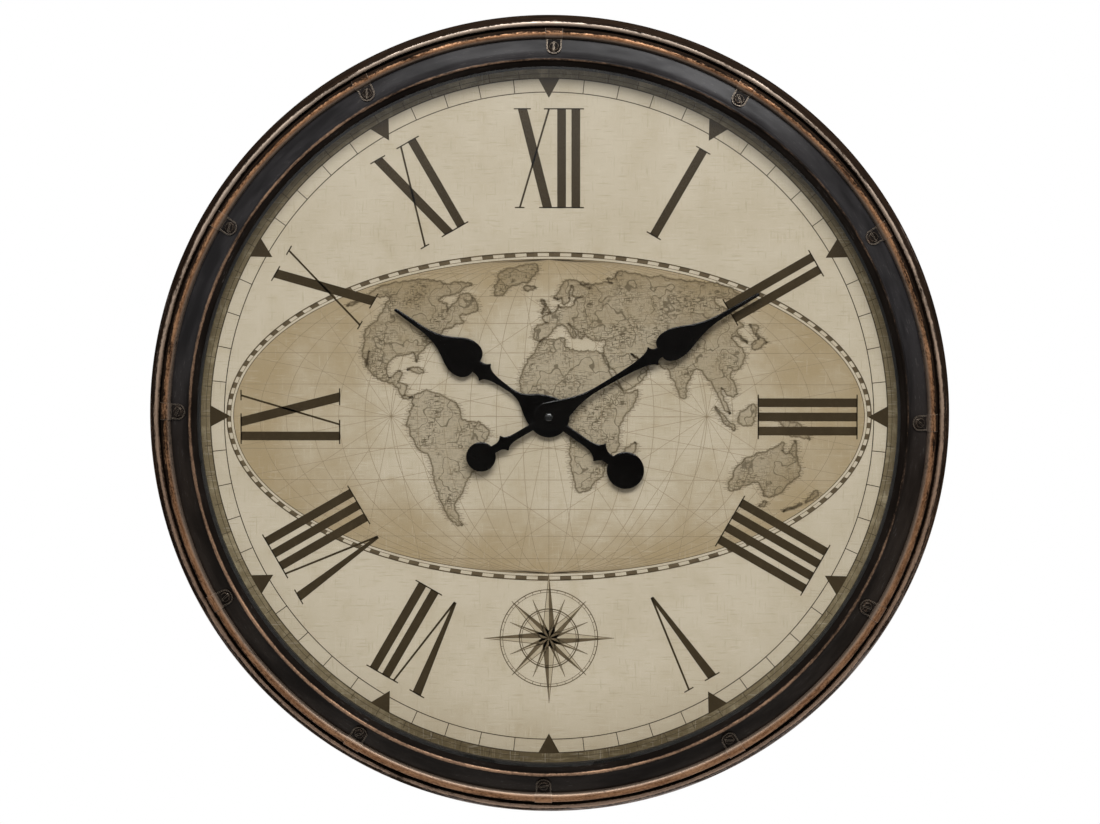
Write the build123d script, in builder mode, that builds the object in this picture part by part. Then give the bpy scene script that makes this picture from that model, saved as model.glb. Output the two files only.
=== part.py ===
from build123d import *
import math
import os

# Large round wall clock: spun steel case, pressed bezel with twelve strap clips, flat glass,
# paper dial on a board, spade hands and a battery movement behind the board.
# Millimetres. The hands turn about the Y axis, the front faces -Y and +Z is up.
# A depth is the distance in front of the wall, and a clock angle runs clockwise from 12.

os.makedirs("parts", exist_ok=True)

# Clearances
FIT = 0.05
RUN = 0.3

# Clock angle of the place where pieces that go round the rim are made
THREE_OCLOCK = 90.0

# Case ring
CASE_RADIUS = 381.0
CASE_SHEET = 1.5
CASE_FLARE = 4.0
FLANGE_WIDTH = 29.0
OUTER_BEAD_RADIUS = 3.2
OUTER_BEAD_DEPTH = 17.0
LEDGE_DEPTH = 14.0
LEDGE_WIDTH = 20.6

# Bezel ring
GROOVE_WIDTH = 1.8
BEZEL_SHEET = 1.2
BEZEL_FLANGE = 14.8
BEZEL_BEAD_RADIUS = 4.6
BEAD_FOLD_ANGLE = 168.0
CHANNEL_RISE = 9.2
CHANNEL_SINK = 1.8
CHANNEL_WIDTH = 16.3
INNER_BEAD_RADIUS = 2.4
INNER_BEAD_RISE = 2.6
INNER_BEAD_FOLD_ANGLE = 150.0
LIP_WIDTH = 7.0

# Strap clips on the bezel
CLIP_COUNT = 12
CLIP_TURN = 0.8
STRAP_WIDTH = 16.2
STRAP_SHEET = 0.8
STRAP_TUCK = 3.0
STRAP_LIFT_ANGLE = 8.0
TAB_HALF_WIDTH = 7.3
TAB_SHEET = 0.9
TAB_BORDER = 1.0
TAB_BORDER_RISE = 0.4
SCREW_SETBACK = 9.3
SCREW_HEAD_RADIUS = 5.0
SCREW_HEAD_HEIGHT = 2.0
SCREW_HEAD_CHAMFER = 0.8
SCREW_SLOT_WIDTH = 1.3
SCREW_SLOT_DEPTH = 0.9
SCREW_SLOT_STEP = 47.0
SCREW_SHANK_RADIUS = 1.9
SCREW_SHANK_LENGTH = 5.0

# Glass, spacer, dial and board
GLASS_THICKNESS = 3.0
GLASS_EDGE_GAP = 1.2
GLASS_EDGE_CHAMFER = 0.5
GASKET_THICKNESS = 0.5
GASKET_WIDTH = 5.5
GASKET_SETBACK = 0.5
SPACER_WIDTH = 9.2
SPACER_EDGE_GAP = 0.5
SHEET_THICKNESS = 0.4
BOARD_THICKNESS = 3.0

# Clips behind the board
BOARD_CLIP_COUNT = 8
BOARD_CLIP_SHEET = 1.2
BOARD_CLIP_WIDTH = 16.0
BOARD_CLIP_GRIP = 11.0
BOARD_CLIP_CLEAR = 4.0
BOARD_CLIP_HEEL = 6.0
BOARD_SCREW_INSET = 10.6
BOARD_SCREW_HEAD_RADIUS = 3.5
BOARD_SCREW_HEAD_HEIGHT = 2.2
BOARD_SCREW_RADIUS = 1.75
BOARD_SCREW_TIP = 1.3

# Keyhole hanger
HANGER_WIDTH = 56.0
HANGER_HEIGHT = 44.0
HANGER_SHEET = 1.5
HANGER_INSET = 9.0
HANGER_CORNER = 3.0
KEYHOLE_RADIUS = 5.0
KEYHOLE_SLOT_RADIUS = 2.4
KEYHOLE_RUN = 7.5
KEYHOLE_DROP = 14.0
RIVET_SPACING = 40.0
RIVET_INSET = 10.0
RIVET_RADIUS = 1.5
RIVET_HEAD_RADIUS = 3.0
RIVET_HEAD_HEIGHT = 0.9

# Movement case and mounting bush
KNOB_WALL_GAP = 1.0
KNOB_HEIGHT = 2.5
MOVEMENT_DEPTH = 17.0
MOVEMENT_WALL = 1.2
MOVEMENT_TOP = 27.0
MOVEMENT_CORNER = 3.0
BUSH_RADIUS = 5.0
BUSH_FLANGE_RADIUS = 7.5
BUSH_FLANGE = 1.2
BUSH_PROUD = 0.4
BOARD_HOLE_CLEARANCE = 0.4
RUBBER_WASHER_RADIUS = 14.0
RUBBER_WASHER_THICKNESS = 0.8
BUSH_WASHER_RADIUS = 10.0
BUSH_WASHER_THICKNESS = 0.6
BUSH_NUT_FLATS = 14.0
BUSH_NUT_HEIGHT = 2.0

# Battery bay
BATTERY_RADIUS = 7.25
BATTERY_LENGTH = 50.5
BATTERY_NUB_RADIUS = 2.75
BATTERY_NUB_LENGTH = 1.3
BATTERY_CHAMFER = 0.6
BATTERY_DROP = 28.0
BAY_CLEARANCE = 0.45
CONTACT_ROOM = 2.55
CONTACT_SHEET = 0.5
CONTACT_HALF_HEIGHT = 6.0
CONTACT_WIDTH = 9.0

# Motor and circuit
STATOR_THICKNESS = 1.0
STATOR_LIFT = 1.5
STATOR_BLOCK = 11.0
STATOR_ARM = 4.0
STATOR_SPAN = 27.5
STATOR_WALL_GAP = 1.0
STATOR_YOKE_DROP = 8.0
STATOR_YOKE_HEIGHT = 3.5
STATOR_POST_RADIUS = 1.0
COIL_DROP = 12.2
COIL_CORE = 2.0
COIL_RADIUS = 1.9
COIL_FLANGE = 1.0
COIL_WAIST = 0.4
MAGNET_RADIUS = 3.0
MAGNET_LENGTH = 1.5
MAGNET_AIR_GAP = 0.6
BOARD_PEG_RADIUS = 0.9
BOARD_POST_RADIUS = 1.8
CIRCUIT_WIDTH = 22.0
CIRCUIT_HEIGHT = 14.0
CIRCUIT_CENTER = (14.5, 17.0)
CIRCUIT_PEG_SPACING = 16.0
CIRCUIT_THICKNESS = 1.0
CIRCUIT_LIFT = 1.3
CRYSTAL_RADIUS = 1.0
CRYSTAL_LENGTH = 6.0

# Gear train
ADDENDUM = 0.85
DEDENDUM = 1.25
TIP_SHARE = 0.1
ROOT_SHARE = 0.28
TRAIN_MODULE = 0.5
ROTOR_MODULE = 0.4
HOUR_MODULE = 0.48
ROTOR_TEETH = 8
THIRD_TEETH = 60
THIRD_PINION_TEETH = 8
CENTRE_TEETH = 64
CANNON_TEETH = 12
MINUTE_WHEEL_TEETH = 36
MINUTE_PINION_TEETH = 10
HOUR_TEETH = 40
SETTING_TEETH = 12
THIRD_DIRECTION = -46.0
ROTOR_DIRECTION = 210.0
MINUTE_WHEEL_DIRECTION = 70.0
SETTING_DIRECTION = 150.0
FIRST_LAYER = 3.8
LAYER_PITCH = 2.65
WHEEL_THICKNESS = 1.2
PINION_LENGTH = 1.8
ARBOR_RADIUS = 0.8
PIVOT_RADIUS = 0.5
PIVOT_LENGTH = 1.2
BOSS_WALL = 1.3
CENTRE_ARBOR_RADIUS = 2.25
CENTRE_PIVOT_RADIUS = 1.0
HAND_THREAD_RADIUS = 1.75
PIPE_WALL = 0.9
STUD_RADIUS = 1.2
SLEEVE_WALL = 0.5
KNOB_RADIUS = 5.0
KNOB_NOTCHES = 12
KNOB_NOTCH_RADIUS = 0.7

# Hands and what holds them
MINUTE_ANGLE = 59.5
HOUR_START = 300.0
HAND_SHEET = 1.0
HAND_BEVEL = 1.0
HAND_BEVEL_RISE = 0.5
COLLET_FLANGE = 0.5
HOUR_COLLET_RADIUS = 7.0
HOUR_COLLET_WALL = 1.4
MINUTE_COLLET_RADIUS = 6.0
MINUTE_COLLET_WALL = 1.2
BUSH_TO_HAND_GAP = 0.4
PIPE_PROUD = 0.3
PIPE_TO_HAND_GAP = 0.5
CAP_RADIUS = 4.15
CAP_HEIGHT = 3.4
CAP_RIM = 1.2
CAP_CROWN = 1.0
CAP_TO_GLASS_GAP = 1.2

# Outline of each hand: reach along the hand and half width there
MINUTE_HAND = {
    "tip": (232.0, 1.6),
    "point": (191.0, 2.4),
    "spade": (137.0, 14.7),
    "neck": (122.4, 5.0),
    "collar": (115.3, 9.8),
    "waist": (54.5, 2.2),
    "hub": 14.3,
    "tail": 3.2,
    "tail_collar": (48.5, 7.9),
    "tail_neck": (56.4, 3.8),
    "disc": (74.8, 14.1),
}
HOUR_HAND = {
    "tip": (178.8, 1.6),
    "point": (146.0, 2.6),
    "spade": (98.5, 18.6),
    "neck": (84.1, 6.4),
    "collar": (74.6, 9.7),
    "waist": (45.0, 2.2),
    "hub": 19.6,
    "tail": 3.6,
    "tail_collar": (58.3, 10.2),
    "tail_neck": (67.9, 4.8),
    "disc": (88.9, 17.7),
}

# Curves of a hand between those places, as shares of the stretch that each one crosses
POINT_FLARE = 1.5
TAPER_HOLLOW = 0.42
TAPER_FULLNESS = 0.3
SHOULDER_ROUND = 0.7
COLLAR_RIM = 1.0
COLLAR_HOLLOW = 0.2
SHAFT_FLARE = 1.5
SHAFT_FLARE_REACH = 0.05
SHAFT_SWELL = 1.2
SHAFT_SWELL_REACH = 0.45
HUB_FLARE_START = 0.55
HUB_FLARE_ANGLE = 15.0
HUB_FLARE_LEAD = 1.25
TAIL_STRAIGHT = 0.72
TAIL_FLARE = 0.96
TAIL_NECK_HOLLOW = 0.4

# Depths from the wall forward
movement_back = KNOB_WALL_GAP + KNOB_HEIGHT
cavity_back = movement_back + MOVEMENT_WALL
movement_front = movement_back + MOVEMENT_DEPTH
plate_back = movement_front - MOVEMENT_WALL
board_back = movement_front + RUBBER_WASHER_THICKNESS
board_front = board_back + BOARD_THICKNESS
dial_front = board_front + SHEET_THICKNESS
nut_back = dial_front + BUSH_WASHER_THICKNESS
nut_front = nut_back + BUSH_NUT_HEIGHT
bush_front = nut_front + BUSH_PROUD
hour_collet_back = bush_front + BUSH_TO_HAND_GAP
hour_hand_back = hour_collet_back + COLLET_FLANGE
hour_hand_front = hour_hand_back + HAND_SHEET
pipe_front = hour_hand_front + PIPE_PROUD
minute_collet_back = pipe_front + PIPE_TO_HAND_GAP
minute_hand_back = minute_collet_back + COLLET_FLANGE
minute_hand_front = minute_hand_back + HAND_SHEET
cap_front = minute_hand_front + CAP_HEIGHT
glass_back = cap_front + CAP_TO_GLASS_GAP
glass_front = glass_back + GLASS_THICKNESS
lip_back = glass_front + GASKET_THICKNESS
lip_front = lip_back + BEZEL_SHEET
clock_depth = lip_front + INNER_BEAD_RISE
wall_y = clock_depth / 2

# Radii from the outside inward
outer_bead_center = (CASE_RADIUS - CASE_FLARE - OUTER_BEAD_RADIUS, OUTER_BEAD_DEPTH)
case_inner_wall = outer_bead_center[0] - OUTER_BEAD_RADIUS
ledge_inner = case_inner_wall - LEDGE_WIDTH
flange_inner = CASE_RADIUS - FLANGE_WIDTH
bezel_outer = case_inner_wall - GROOVE_WIDTH
channel_inner_depth = lip_back - CHANNEL_SINK
channel_outer_depth = channel_inner_depth - CHANNEL_RISE
fold = math.radians(BEAD_FOLD_ANGLE)
bezel_bead_center = (
    bezel_outer - BEZEL_BEAD_RADIUS,
    channel_outer_depth - BEZEL_BEAD_RADIUS * math.sin(fold),
)
channel_outer_radius = bezel_bead_center[0] + BEZEL_BEAD_RADIUS * math.cos(fold)
channel_inner_radius = channel_outer_radius - CHANNEL_WIDTH
inner_bead_center = (channel_inner_radius - INNER_BEAD_RADIUS, clock_depth - INNER_BEAD_RADIUS)
inner_bead_wall = inner_bead_center[0] + INNER_BEAD_RADIUS - BEZEL_SHEET
lip_inner = inner_bead_center[0] - LIP_WIDTH
glass_radius = inner_bead_wall - GLASS_EDGE_GAP
spacer_outer = glass_radius - SPACER_EDGE_GAP
spacer_inner = spacer_outer - SPACER_WIDTH
slope = math.atan2(CHANNEL_RISE, CHANNEL_WIDTH)

# Fastening places
board_hole = BUSH_RADIUS + BOARD_HOLE_CLEARANCE
board_screw_circle = case_inner_wall - BOARD_SCREW_INSET
first_board_clip = 180 / BOARD_CLIP_COUNT
first_board_turn = first_board_clip - THREE_OCLOCK
hanger_top = CASE_RADIUS - HANGER_INSET
keyhole_z = flange_inner - KEYHOLE_DROP
rivet_places = [(side * RIVET_SPACING / 2, hanger_top - RIVET_INSET) for side in (-1, 1)]


def at_depth(depth):
    """Plane that faces the viewer, at a depth in front of the wall."""
    return Plane.XZ.offset(depth - wall_y)


def section(radius, depth):
    """Point of a turned section: radius from the hands' axis and depth in front of the wall."""
    return (radius, wall_y - depth)


def on_circle(center, radius, angle):
    """Point of a section's circle, with the angle counted from outward towards the front."""
    turn = math.radians(angle)
    return (center[0] + radius * math.cos(turn), center[1] + radius * math.sin(turn))


def section_arc(center, radius, start, end):
    """Arc of a turned section between two angles."""
    points = [on_circle(center, radius, angle) for angle in (start, (start + end) / 2, end)]
    return ThreePointArc(*[section(*point) for point in points])


def clock_point(center, reach, angle):
    """Point at a distance and a clock angle from another, as X and Z."""
    turn = math.radians(angle)
    return (center[0] + reach * math.sin(turn), center[1] + reach * math.cos(turn))


def disc(center, radius, back, front, mode=Mode.ADD):
    """Round step of an arbor, boss or hole between two depths."""
    with BuildSketch(at_depth(back)) as outline:
        with Locations(center):
            Circle(radius)
    extrude(outline.sketch, amount=front - back, mode=mode)


def ring(inner, outer, back, front):
    """Flat ring about the hands' axis between two depths."""
    with BuildSketch(at_depth(back)) as outline:
        Circle(outer)
        Circle(inner, mode=Mode.SUBTRACT)
    extrude(outline.sketch, amount=front - back)


def turn_to(first_angle, index, count):
    """Turn from 3 o'clock to one of the clock angles of an even spread."""
    return first_angle + index * 360 / count - THREE_OCLOCK


def around(piece, count, first_angle):
    """Copies of a piece made at 3 o'clock, spread around the clock from a clock angle."""
    return [piece.rotate(Axis.Y, turn_to(first_angle, index, count)) for index in range(count)]


# Case ring: rear flange, flared wall, rolled bead and the ledge that carries the bezel
with BuildPart() as case_ring:
    with BuildSketch():
        with BuildLine():
            Line(
                section(CASE_RADIUS, 0),
                section(outer_bead_center[0] + OUTER_BEAD_RADIUS, OUTER_BEAD_DEPTH),
            )
            section_arc(outer_bead_center, OUTER_BEAD_RADIUS, 0, 180)
            Polyline(
                section(case_inner_wall, OUTER_BEAD_DEPTH),
                section(case_inner_wall, LEDGE_DEPTH),
                section(ledge_inner, LEDGE_DEPTH),
                section(ledge_inner, LEDGE_DEPTH - CASE_SHEET),
                section(case_inner_wall + CASE_SHEET, LEDGE_DEPTH - CASE_SHEET),
                section(case_inner_wall + CASE_SHEET, OUTER_BEAD_DEPTH),
            )
            section_arc(outer_bead_center, OUTER_BEAD_RADIUS - CASE_SHEET, 180, 0)
            Polyline(
                section(outer_bead_center[0] + OUTER_BEAD_RADIUS - CASE_SHEET, OUTER_BEAD_DEPTH),
                section(CASE_RADIUS - CASE_SHEET, CASE_SHEET),
                section(flange_inner, CASE_SHEET),
                section(flange_inner, 0),
                section(CASE_RADIUS, 0),
            )
        make_face()
    revolve(axis=Axis.Y)
    with BuildSketch(at_depth(0)):
        with Locations(*rivet_places):
            Circle(RIVET_RADIUS + FIT)
    extrude(amount=CASE_SHEET, mode=Mode.SUBTRACT)
    with BuildSketch(at_depth(LEDGE_DEPTH - CASE_SHEET)):
        with PolarLocations(board_screw_circle, BOARD_CLIP_COUNT, -first_board_turn):
            Circle(BOARD_SCREW_RADIUS + FIT)
    extrude(amount=CASE_SHEET, mode=Mode.SUBTRACT)

# Bezel ring: skirt, wide bead, sloping channel, inner bead and the lip that holds the glass
under_point = (
    channel_outer_radius - BEZEL_SHEET * math.sin(slope),
    channel_outer_depth - BEZEL_SHEET * math.cos(slope),
)
from_bead = (under_point[0] - bezel_bead_center[0], under_point[1] - bezel_bead_center[1])
along = from_bead[1] * math.sin(slope) - from_bead[0] * math.cos(slope)
across = from_bead[0] * math.sin(slope) + from_bead[1] * math.cos(slope)
back_step = along - math.sqrt((BEZEL_BEAD_RADIUS - BEZEL_SHEET) ** 2 - across**2)
under_fold = (
    under_point[0] + back_step * math.cos(slope),
    under_point[1] - back_step * math.sin(slope),
)
under_fold_angle = 360 + math.degrees(
    math.atan2(under_fold[1] - bezel_bead_center[1], under_fold[0] - bezel_bead_center[0])
)
under_inner_depth = under_point[1] + (under_point[0] - inner_bead_wall) * math.tan(slope)
bezel_flange_inner = bezel_outer - BEZEL_FLANGE
bead_inside = inner_bead_center[0] - INNER_BEAD_RADIUS + BEZEL_SHEET

# Plane on the channel at 3 o'clock, with its own x running inward along the slope
channel_plane = Plane(
    origin=(*section(channel_outer_radius, channel_outer_depth), 0),
    x_dir=(-math.cos(slope), -math.sin(slope), 0),
    z_dir=(math.sin(slope), -math.cos(slope), 0),
)
channel_normal = Axis(channel_plane.from_local_coords((SCREW_SETBACK, 0, 0)), channel_plane.z_dir)

with BuildPart() as clip_screw_hole:
    with BuildSketch(channel_plane.offset(-SCREW_SHANK_LENGTH)):
        with Locations((SCREW_SETBACK, 0)):
            Circle(SCREW_SHANK_RADIUS + FIT)
    extrude(amount=2 * SCREW_SHANK_LENGTH)

with BuildPart() as bezel_ring:
    with BuildSketch():
        with BuildLine():
            Polyline(
                section(bezel_outer - BEZEL_SHEET, bezel_bead_center[1]),
                section(bezel_outer - BEZEL_SHEET, LEDGE_DEPTH + BEZEL_SHEET),
                section(bezel_flange_inner, LEDGE_DEPTH + BEZEL_SHEET),
                section(bezel_flange_inner, LEDGE_DEPTH),
                section(bezel_outer, LEDGE_DEPTH),
                section(bezel_outer, bezel_bead_center[1]),
            )
            section_arc(bezel_bead_center, BEZEL_BEAD_RADIUS, 0, BEAD_FOLD_ANGLE)
            Polyline(
                section(channel_outer_radius, channel_outer_depth),
                section(channel_inner_radius, channel_inner_depth),
                section(channel_inner_radius, inner_bead_center[1]),
            )
            section_arc(inner_bead_center, INNER_BEAD_RADIUS, 0, INNER_BEAD_FOLD_ANGLE)
            Polyline(
                section(*on_circle(inner_bead_center, INNER_BEAD_RADIUS, INNER_BEAD_FOLD_ANGLE)),
                section(lip_inner, lip_front),
                section(lip_inner, lip_back),
                section(bead_inside, lip_back),
                section(bead_inside, inner_bead_center[1]),
            )
            section_arc(inner_bead_center, INNER_BEAD_RADIUS - BEZEL_SHEET, 180, 0)
            Polyline(
                section(inner_bead_wall, inner_bead_center[1]),
                section(inner_bead_wall, under_inner_depth),
                section(*under_fold),
            )
            section_arc(bezel_bead_center, BEZEL_BEAD_RADIUS - BEZEL_SHEET, under_fold_angle, 0)
        make_face()
    revolve(axis=Axis.Y)
    with BuildSketch(at_depth(LEDGE_DEPTH)):
        with PolarLocations(board_screw_circle, BOARD_CLIP_COUNT, -first_board_turn):
            Circle(BOARD_SCREW_RADIUS + FIT)
    extrude(amount=BEZEL_SHEET, mode=Mode.SUBTRACT)
    for hole in around(clip_screw_hole.part, CLIP_COUNT, CLIP_TURN):
        add(hole, mode=Mode.SUBTRACT)

# Strap clip: band over the wide bead and an arched tab with a raised border on the channel
strap_angle = math.degrees(STRAP_WIDTH / bezel_bead_center[0])
strap_inside = BEZEL_BEAD_RADIUS + FIT
strap_outside = strap_inside + STRAP_SHEET
strap_end_angle = BEAD_FOLD_ANGLE - STRAP_LIFT_ANGLE
with BuildPart() as rim_clip:
    with BuildSketch(channel_plane.offset(FIT)):
        with Locations((SCREW_SETBACK / 2, 0)):
            Rectangle(SCREW_SETBACK, 2 * TAB_HALF_WIDTH)
        with Locations((SCREW_SETBACK, 0)):
            Circle(TAB_HALF_WIDTH)
            Circle(SCREW_SHANK_RADIUS + FIT, mode=Mode.SUBTRACT)
    extrude(amount=TAB_SHEET)
    with BuildSketch(channel_plane.offset(FIT + TAB_SHEET)):
        with Locations((SCREW_SETBACK / 2, 0)):
            Rectangle(SCREW_SETBACK, 2 * TAB_HALF_WIDTH)
        with Locations((SCREW_SETBACK, 0)):
            Circle(TAB_HALF_WIDTH)
        with Locations((SCREW_SETBACK / 2, 0)):
            Rectangle(SCREW_SETBACK, 2 * (TAB_HALF_WIDTH - TAB_BORDER), mode=Mode.SUBTRACT)
        with Locations((SCREW_SETBACK, 0)):
            Circle(TAB_HALF_WIDTH - TAB_BORDER, mode=Mode.SUBTRACT)
    extrude(amount=TAB_BORDER_RISE)
    with BuildSketch(Plane.XY.rotated((0, -strap_angle, 0))):
        with Locations(section(*bezel_bead_center)):
            Circle(strap_inside)
    revolve(axis=Axis.Y, revolution_arc=2 * strap_angle, mode=Mode.SUBTRACT)
    with BuildSketch(Plane.XY.rotated((0, -strap_angle / 2, 0))):
        with BuildLine():
            section_arc(bezel_bead_center, strap_inside, 0, strap_end_angle)
            Line(
                section(*on_circle(bezel_bead_center, strap_inside, strap_end_angle)),
                section(*on_circle(bezel_bead_center, strap_outside, strap_end_angle)),
            )
            section_arc(bezel_bead_center, strap_outside, strap_end_angle, 0)
            Polyline(
                section(bezel_bead_center[0] + strap_outside, bezel_bead_center[1]),
                section(bezel_bead_center[0] + strap_outside, bezel_bead_center[1] - STRAP_TUCK),
                section(bezel_bead_center[0] + strap_inside, bezel_bead_center[1] - STRAP_TUCK),
                section(bezel_bead_center[0] + strap_inside, bezel_bead_center[1]),
            )
        make_face()
    revolve(axis=Axis.Y, revolution_arc=strap_angle)

with BuildPart() as rim_clips:
    for clip in around(rim_clip.part, CLIP_COUNT, CLIP_TURN):
        add(clip)

# Slotted screw of a strap clip, with the slot of each turned a different way
with BuildPart() as rim_clip_screw:
    with BuildSketch(channel_plane.offset(FIT + TAB_SHEET)):
        with Locations((SCREW_SETBACK, 0)):
            Circle(SCREW_HEAD_RADIUS)
    extrude(amount=SCREW_HEAD_HEIGHT)
    head_top = faces().sort_by(channel_normal)[-1]
    chamfer(head_top.edges(), length=SCREW_HEAD_CHAMFER)
    with BuildSketch(channel_plane.offset(FIT + TAB_SHEET + SCREW_HEAD_HEIGHT - SCREW_SLOT_DEPTH)):
        with Locations((SCREW_SETBACK, 0)):
            Rectangle(2 * SCREW_HEAD_RADIUS, SCREW_SLOT_WIDTH)
    extrude(amount=SCREW_SLOT_DEPTH, mode=Mode.SUBTRACT)
    with BuildSketch(channel_plane.offset(FIT + TAB_SHEET)):
        with Locations((SCREW_SETBACK, 0)):
            Circle(SCREW_SHANK_RADIUS)
    extrude(amount=-SCREW_SHANK_LENGTH)

with BuildPart() as rim_clip_screws:
    for index in range(CLIP_COUNT):
        turned_screw = rim_clip_screw.part.rotate(channel_normal, index * SCREW_SLOT_STEP)
        add(turned_screw.rotate(Axis.Y, turn_to(CLIP_TURN, index, CLIP_COUNT)))

# Glass, its gasket, the black spacer, the paper dial and the board
with BuildPart() as glass_pane:
    disc((0, 0), glass_radius, glass_back, glass_front)
    chamfer(edges().filter_by(GeomType.CIRCLE), length=GLASS_EDGE_CHAMFER)

with BuildPart() as glass_gasket:
    gasket_inner = lip_inner + GASKET_SETBACK
    ring(gasket_inner, gasket_inner + GASKET_WIDTH, glass_front, lip_back)

with BuildPart() as spacer_ring:
    ring(spacer_inner, spacer_outer, dial_front, glass_back)

with BuildPart() as dial_sheet:
    ring(board_hole, glass_radius, board_front, dial_front)

with BuildPart() as dial_board:
    ring(board_hole, glass_radius, board_back, board_front)

# Bent clip behind the board: a foot under the ledge, a riser and a finger on the board's back
clip_foot_back = LEDGE_DEPTH - CASE_SHEET - BOARD_CLIP_SHEET
riser_outer = ledge_inner - BOARD_CLIP_CLEAR
with BuildPart() as board_clip:
    with BuildSketch():
        with BuildLine():
            Polyline(
                section(board_screw_circle + BOARD_CLIP_HEEL, clip_foot_back),
                section(board_screw_circle + BOARD_CLIP_HEEL, LEDGE_DEPTH - CASE_SHEET),
                section(riser_outer, LEDGE_DEPTH - CASE_SHEET),
                section(riser_outer, board_back),
                section(glass_radius - BOARD_CLIP_GRIP, board_back),
                section(glass_radius - BOARD_CLIP_GRIP, board_back - BOARD_CLIP_SHEET),
                section(riser_outer - BOARD_CLIP_SHEET, board_back - BOARD_CLIP_SHEET),
                section(riser_outer - BOARD_CLIP_SHEET, clip_foot_back),
                close=True,
            )
        make_face()
    extrude(amount=BOARD_CLIP_WIDTH / 2, both=True)
    disc((board_screw_circle, 0), BOARD_SCREW_RADIUS + FIT, clip_foot_back, LEDGE_DEPTH, Mode.SUBTRACT)

with BuildPart() as board_clips:
    for clip in around(board_clip.part, BOARD_CLIP_COUNT, first_board_clip):
        add(clip)

with BuildPart() as board_clip_screw:
    disc(
        (board_screw_circle, 0),
        BOARD_SCREW_HEAD_RADIUS,
        clip_foot_back - BOARD_SCREW_HEAD_HEIGHT,
        clip_foot_back,
    )
    disc(
        (board_screw_circle, 0),
        BOARD_SCREW_RADIUS,
        clip_foot_back,
        LEDGE_DEPTH + BEZEL_SHEET + BOARD_SCREW_TIP,
    )

with BuildPart() as board_clip_screws:
    for screw in around(board_clip_screw.part, BOARD_CLIP_COUNT, first_board_clip):
        add(screw)

# Keyhole plate riveted to the inside of the rear flange, with its keyhole below the flange's edge
with BuildPart() as hanger_plate:
    with BuildSketch(at_depth(CASE_SHEET)):
        with Locations((0, hanger_top - HANGER_HEIGHT / 2)):
            RectangleRounded(HANGER_WIDTH, HANGER_HEIGHT, HANGER_CORNER)
        with Locations((0, keyhole_z)):
            Circle(KEYHOLE_RADIUS, mode=Mode.SUBTRACT)
        with Locations((0, keyhole_z + KEYHOLE_RUN / 2)):
            SlotCenterToCenter(KEYHOLE_RUN, 2 * KEYHOLE_SLOT_RADIUS, 90, mode=Mode.SUBTRACT)
        with Locations(*rivet_places):
            Circle(RIVET_RADIUS + FIT, mode=Mode.SUBTRACT)
    extrude(amount=HANGER_SHEET)

with BuildPart() as hanger_rivets:
    for rivet_place in rivet_places:
        rivet_seat = CASE_SHEET + HANGER_SHEET
        disc(rivet_place, RIVET_RADIUS, 0, rivet_seat)
        disc(rivet_place, RIVET_HEAD_RADIUS, rivet_seat, rivet_seat + RIVET_HEAD_HEIGHT)

# Movement: places of the arbors, and the middle of each layer of gears
hub = (0, 0)
third_axis = clock_point(hub, (CENTRE_TEETH + THIRD_PINION_TEETH) * TRAIN_MODULE / 2, THIRD_DIRECTION)
rotor_axis = clock_point(third_axis, (THIRD_TEETH + ROTOR_TEETH) * ROTOR_MODULE / 2, ROTOR_DIRECTION)
minute_wheel_axis = clock_point(
    hub, (CANNON_TEETH + MINUTE_WHEEL_TEETH) * TRAIN_MODULE / 2, MINUTE_WHEEL_DIRECTION
)
setting_axis = clock_point(
    minute_wheel_axis, (MINUTE_WHEEL_TEETH + SETTING_TEETH) * TRAIN_MODULE / 2, SETTING_DIRECTION
)
third_layer = cavity_back + FIRST_LAYER
centre_layer = third_layer + LAYER_PITCH
minute_layer = centre_layer + LAYER_PITCH
hour_layer = minute_layer + LAYER_PITCH
pivot_back = movement_back + MOVEMENT_WALL - PIVOT_LENGTH
pipe_inner = CENTRE_ARBOR_RADIUS + FIT
pipe_outer = pipe_inner + PIPE_WALL
bush_bore = pipe_outer + FIT

# Movement box, wide enough for the battery with its contacts and for the stator
stator_left = rotor_axis[0] - STATOR_BLOCK / 2
stator_right = stator_left + STATOR_SPAN
inner_half_width = max(
    BATTERY_LENGTH / 2 + CONTACT_ROOM,
    STATOR_WALL_GAP - stator_left,
    stator_right + STATOR_WALL_GAP,
)
movement_half_width = inner_half_width + MOVEMENT_WALL
battery_z = -BATTERY_DROP
battery_depth = cavity_back + BATTERY_RADIUS + FIT
bay_half_height = BATTERY_RADIUS + BAY_CLEARANCE
movement_bottom = battery_z - bay_half_height - MOVEMENT_WALL
movement_z = (MOVEMENT_TOP + movement_bottom) / 2
movement_height = MOVEMENT_TOP - movement_bottom
partition_z = battery_z + bay_half_height + MOVEMENT_WALL / 2
stator_back = cavity_back + STATOR_LIFT
coil_z = rotor_axis[1] - COIL_DROP
arm_posts = [(stator_left + STATOR_ARM / 2, coil_z), (stator_right - STATOR_ARM / 2, coil_z)]
circuit_back = cavity_back + CIRCUIT_LIFT
circuit_pegs = [
    (CIRCUIT_CENTER[0] - CIRCUIT_PEG_SPACING / 2, CIRCUIT_CENTER[1]),
    (CIRCUIT_CENTER[0] + CIRCUIT_PEG_SPACING / 2, CIRCUIT_CENTER[1]),
]


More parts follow.
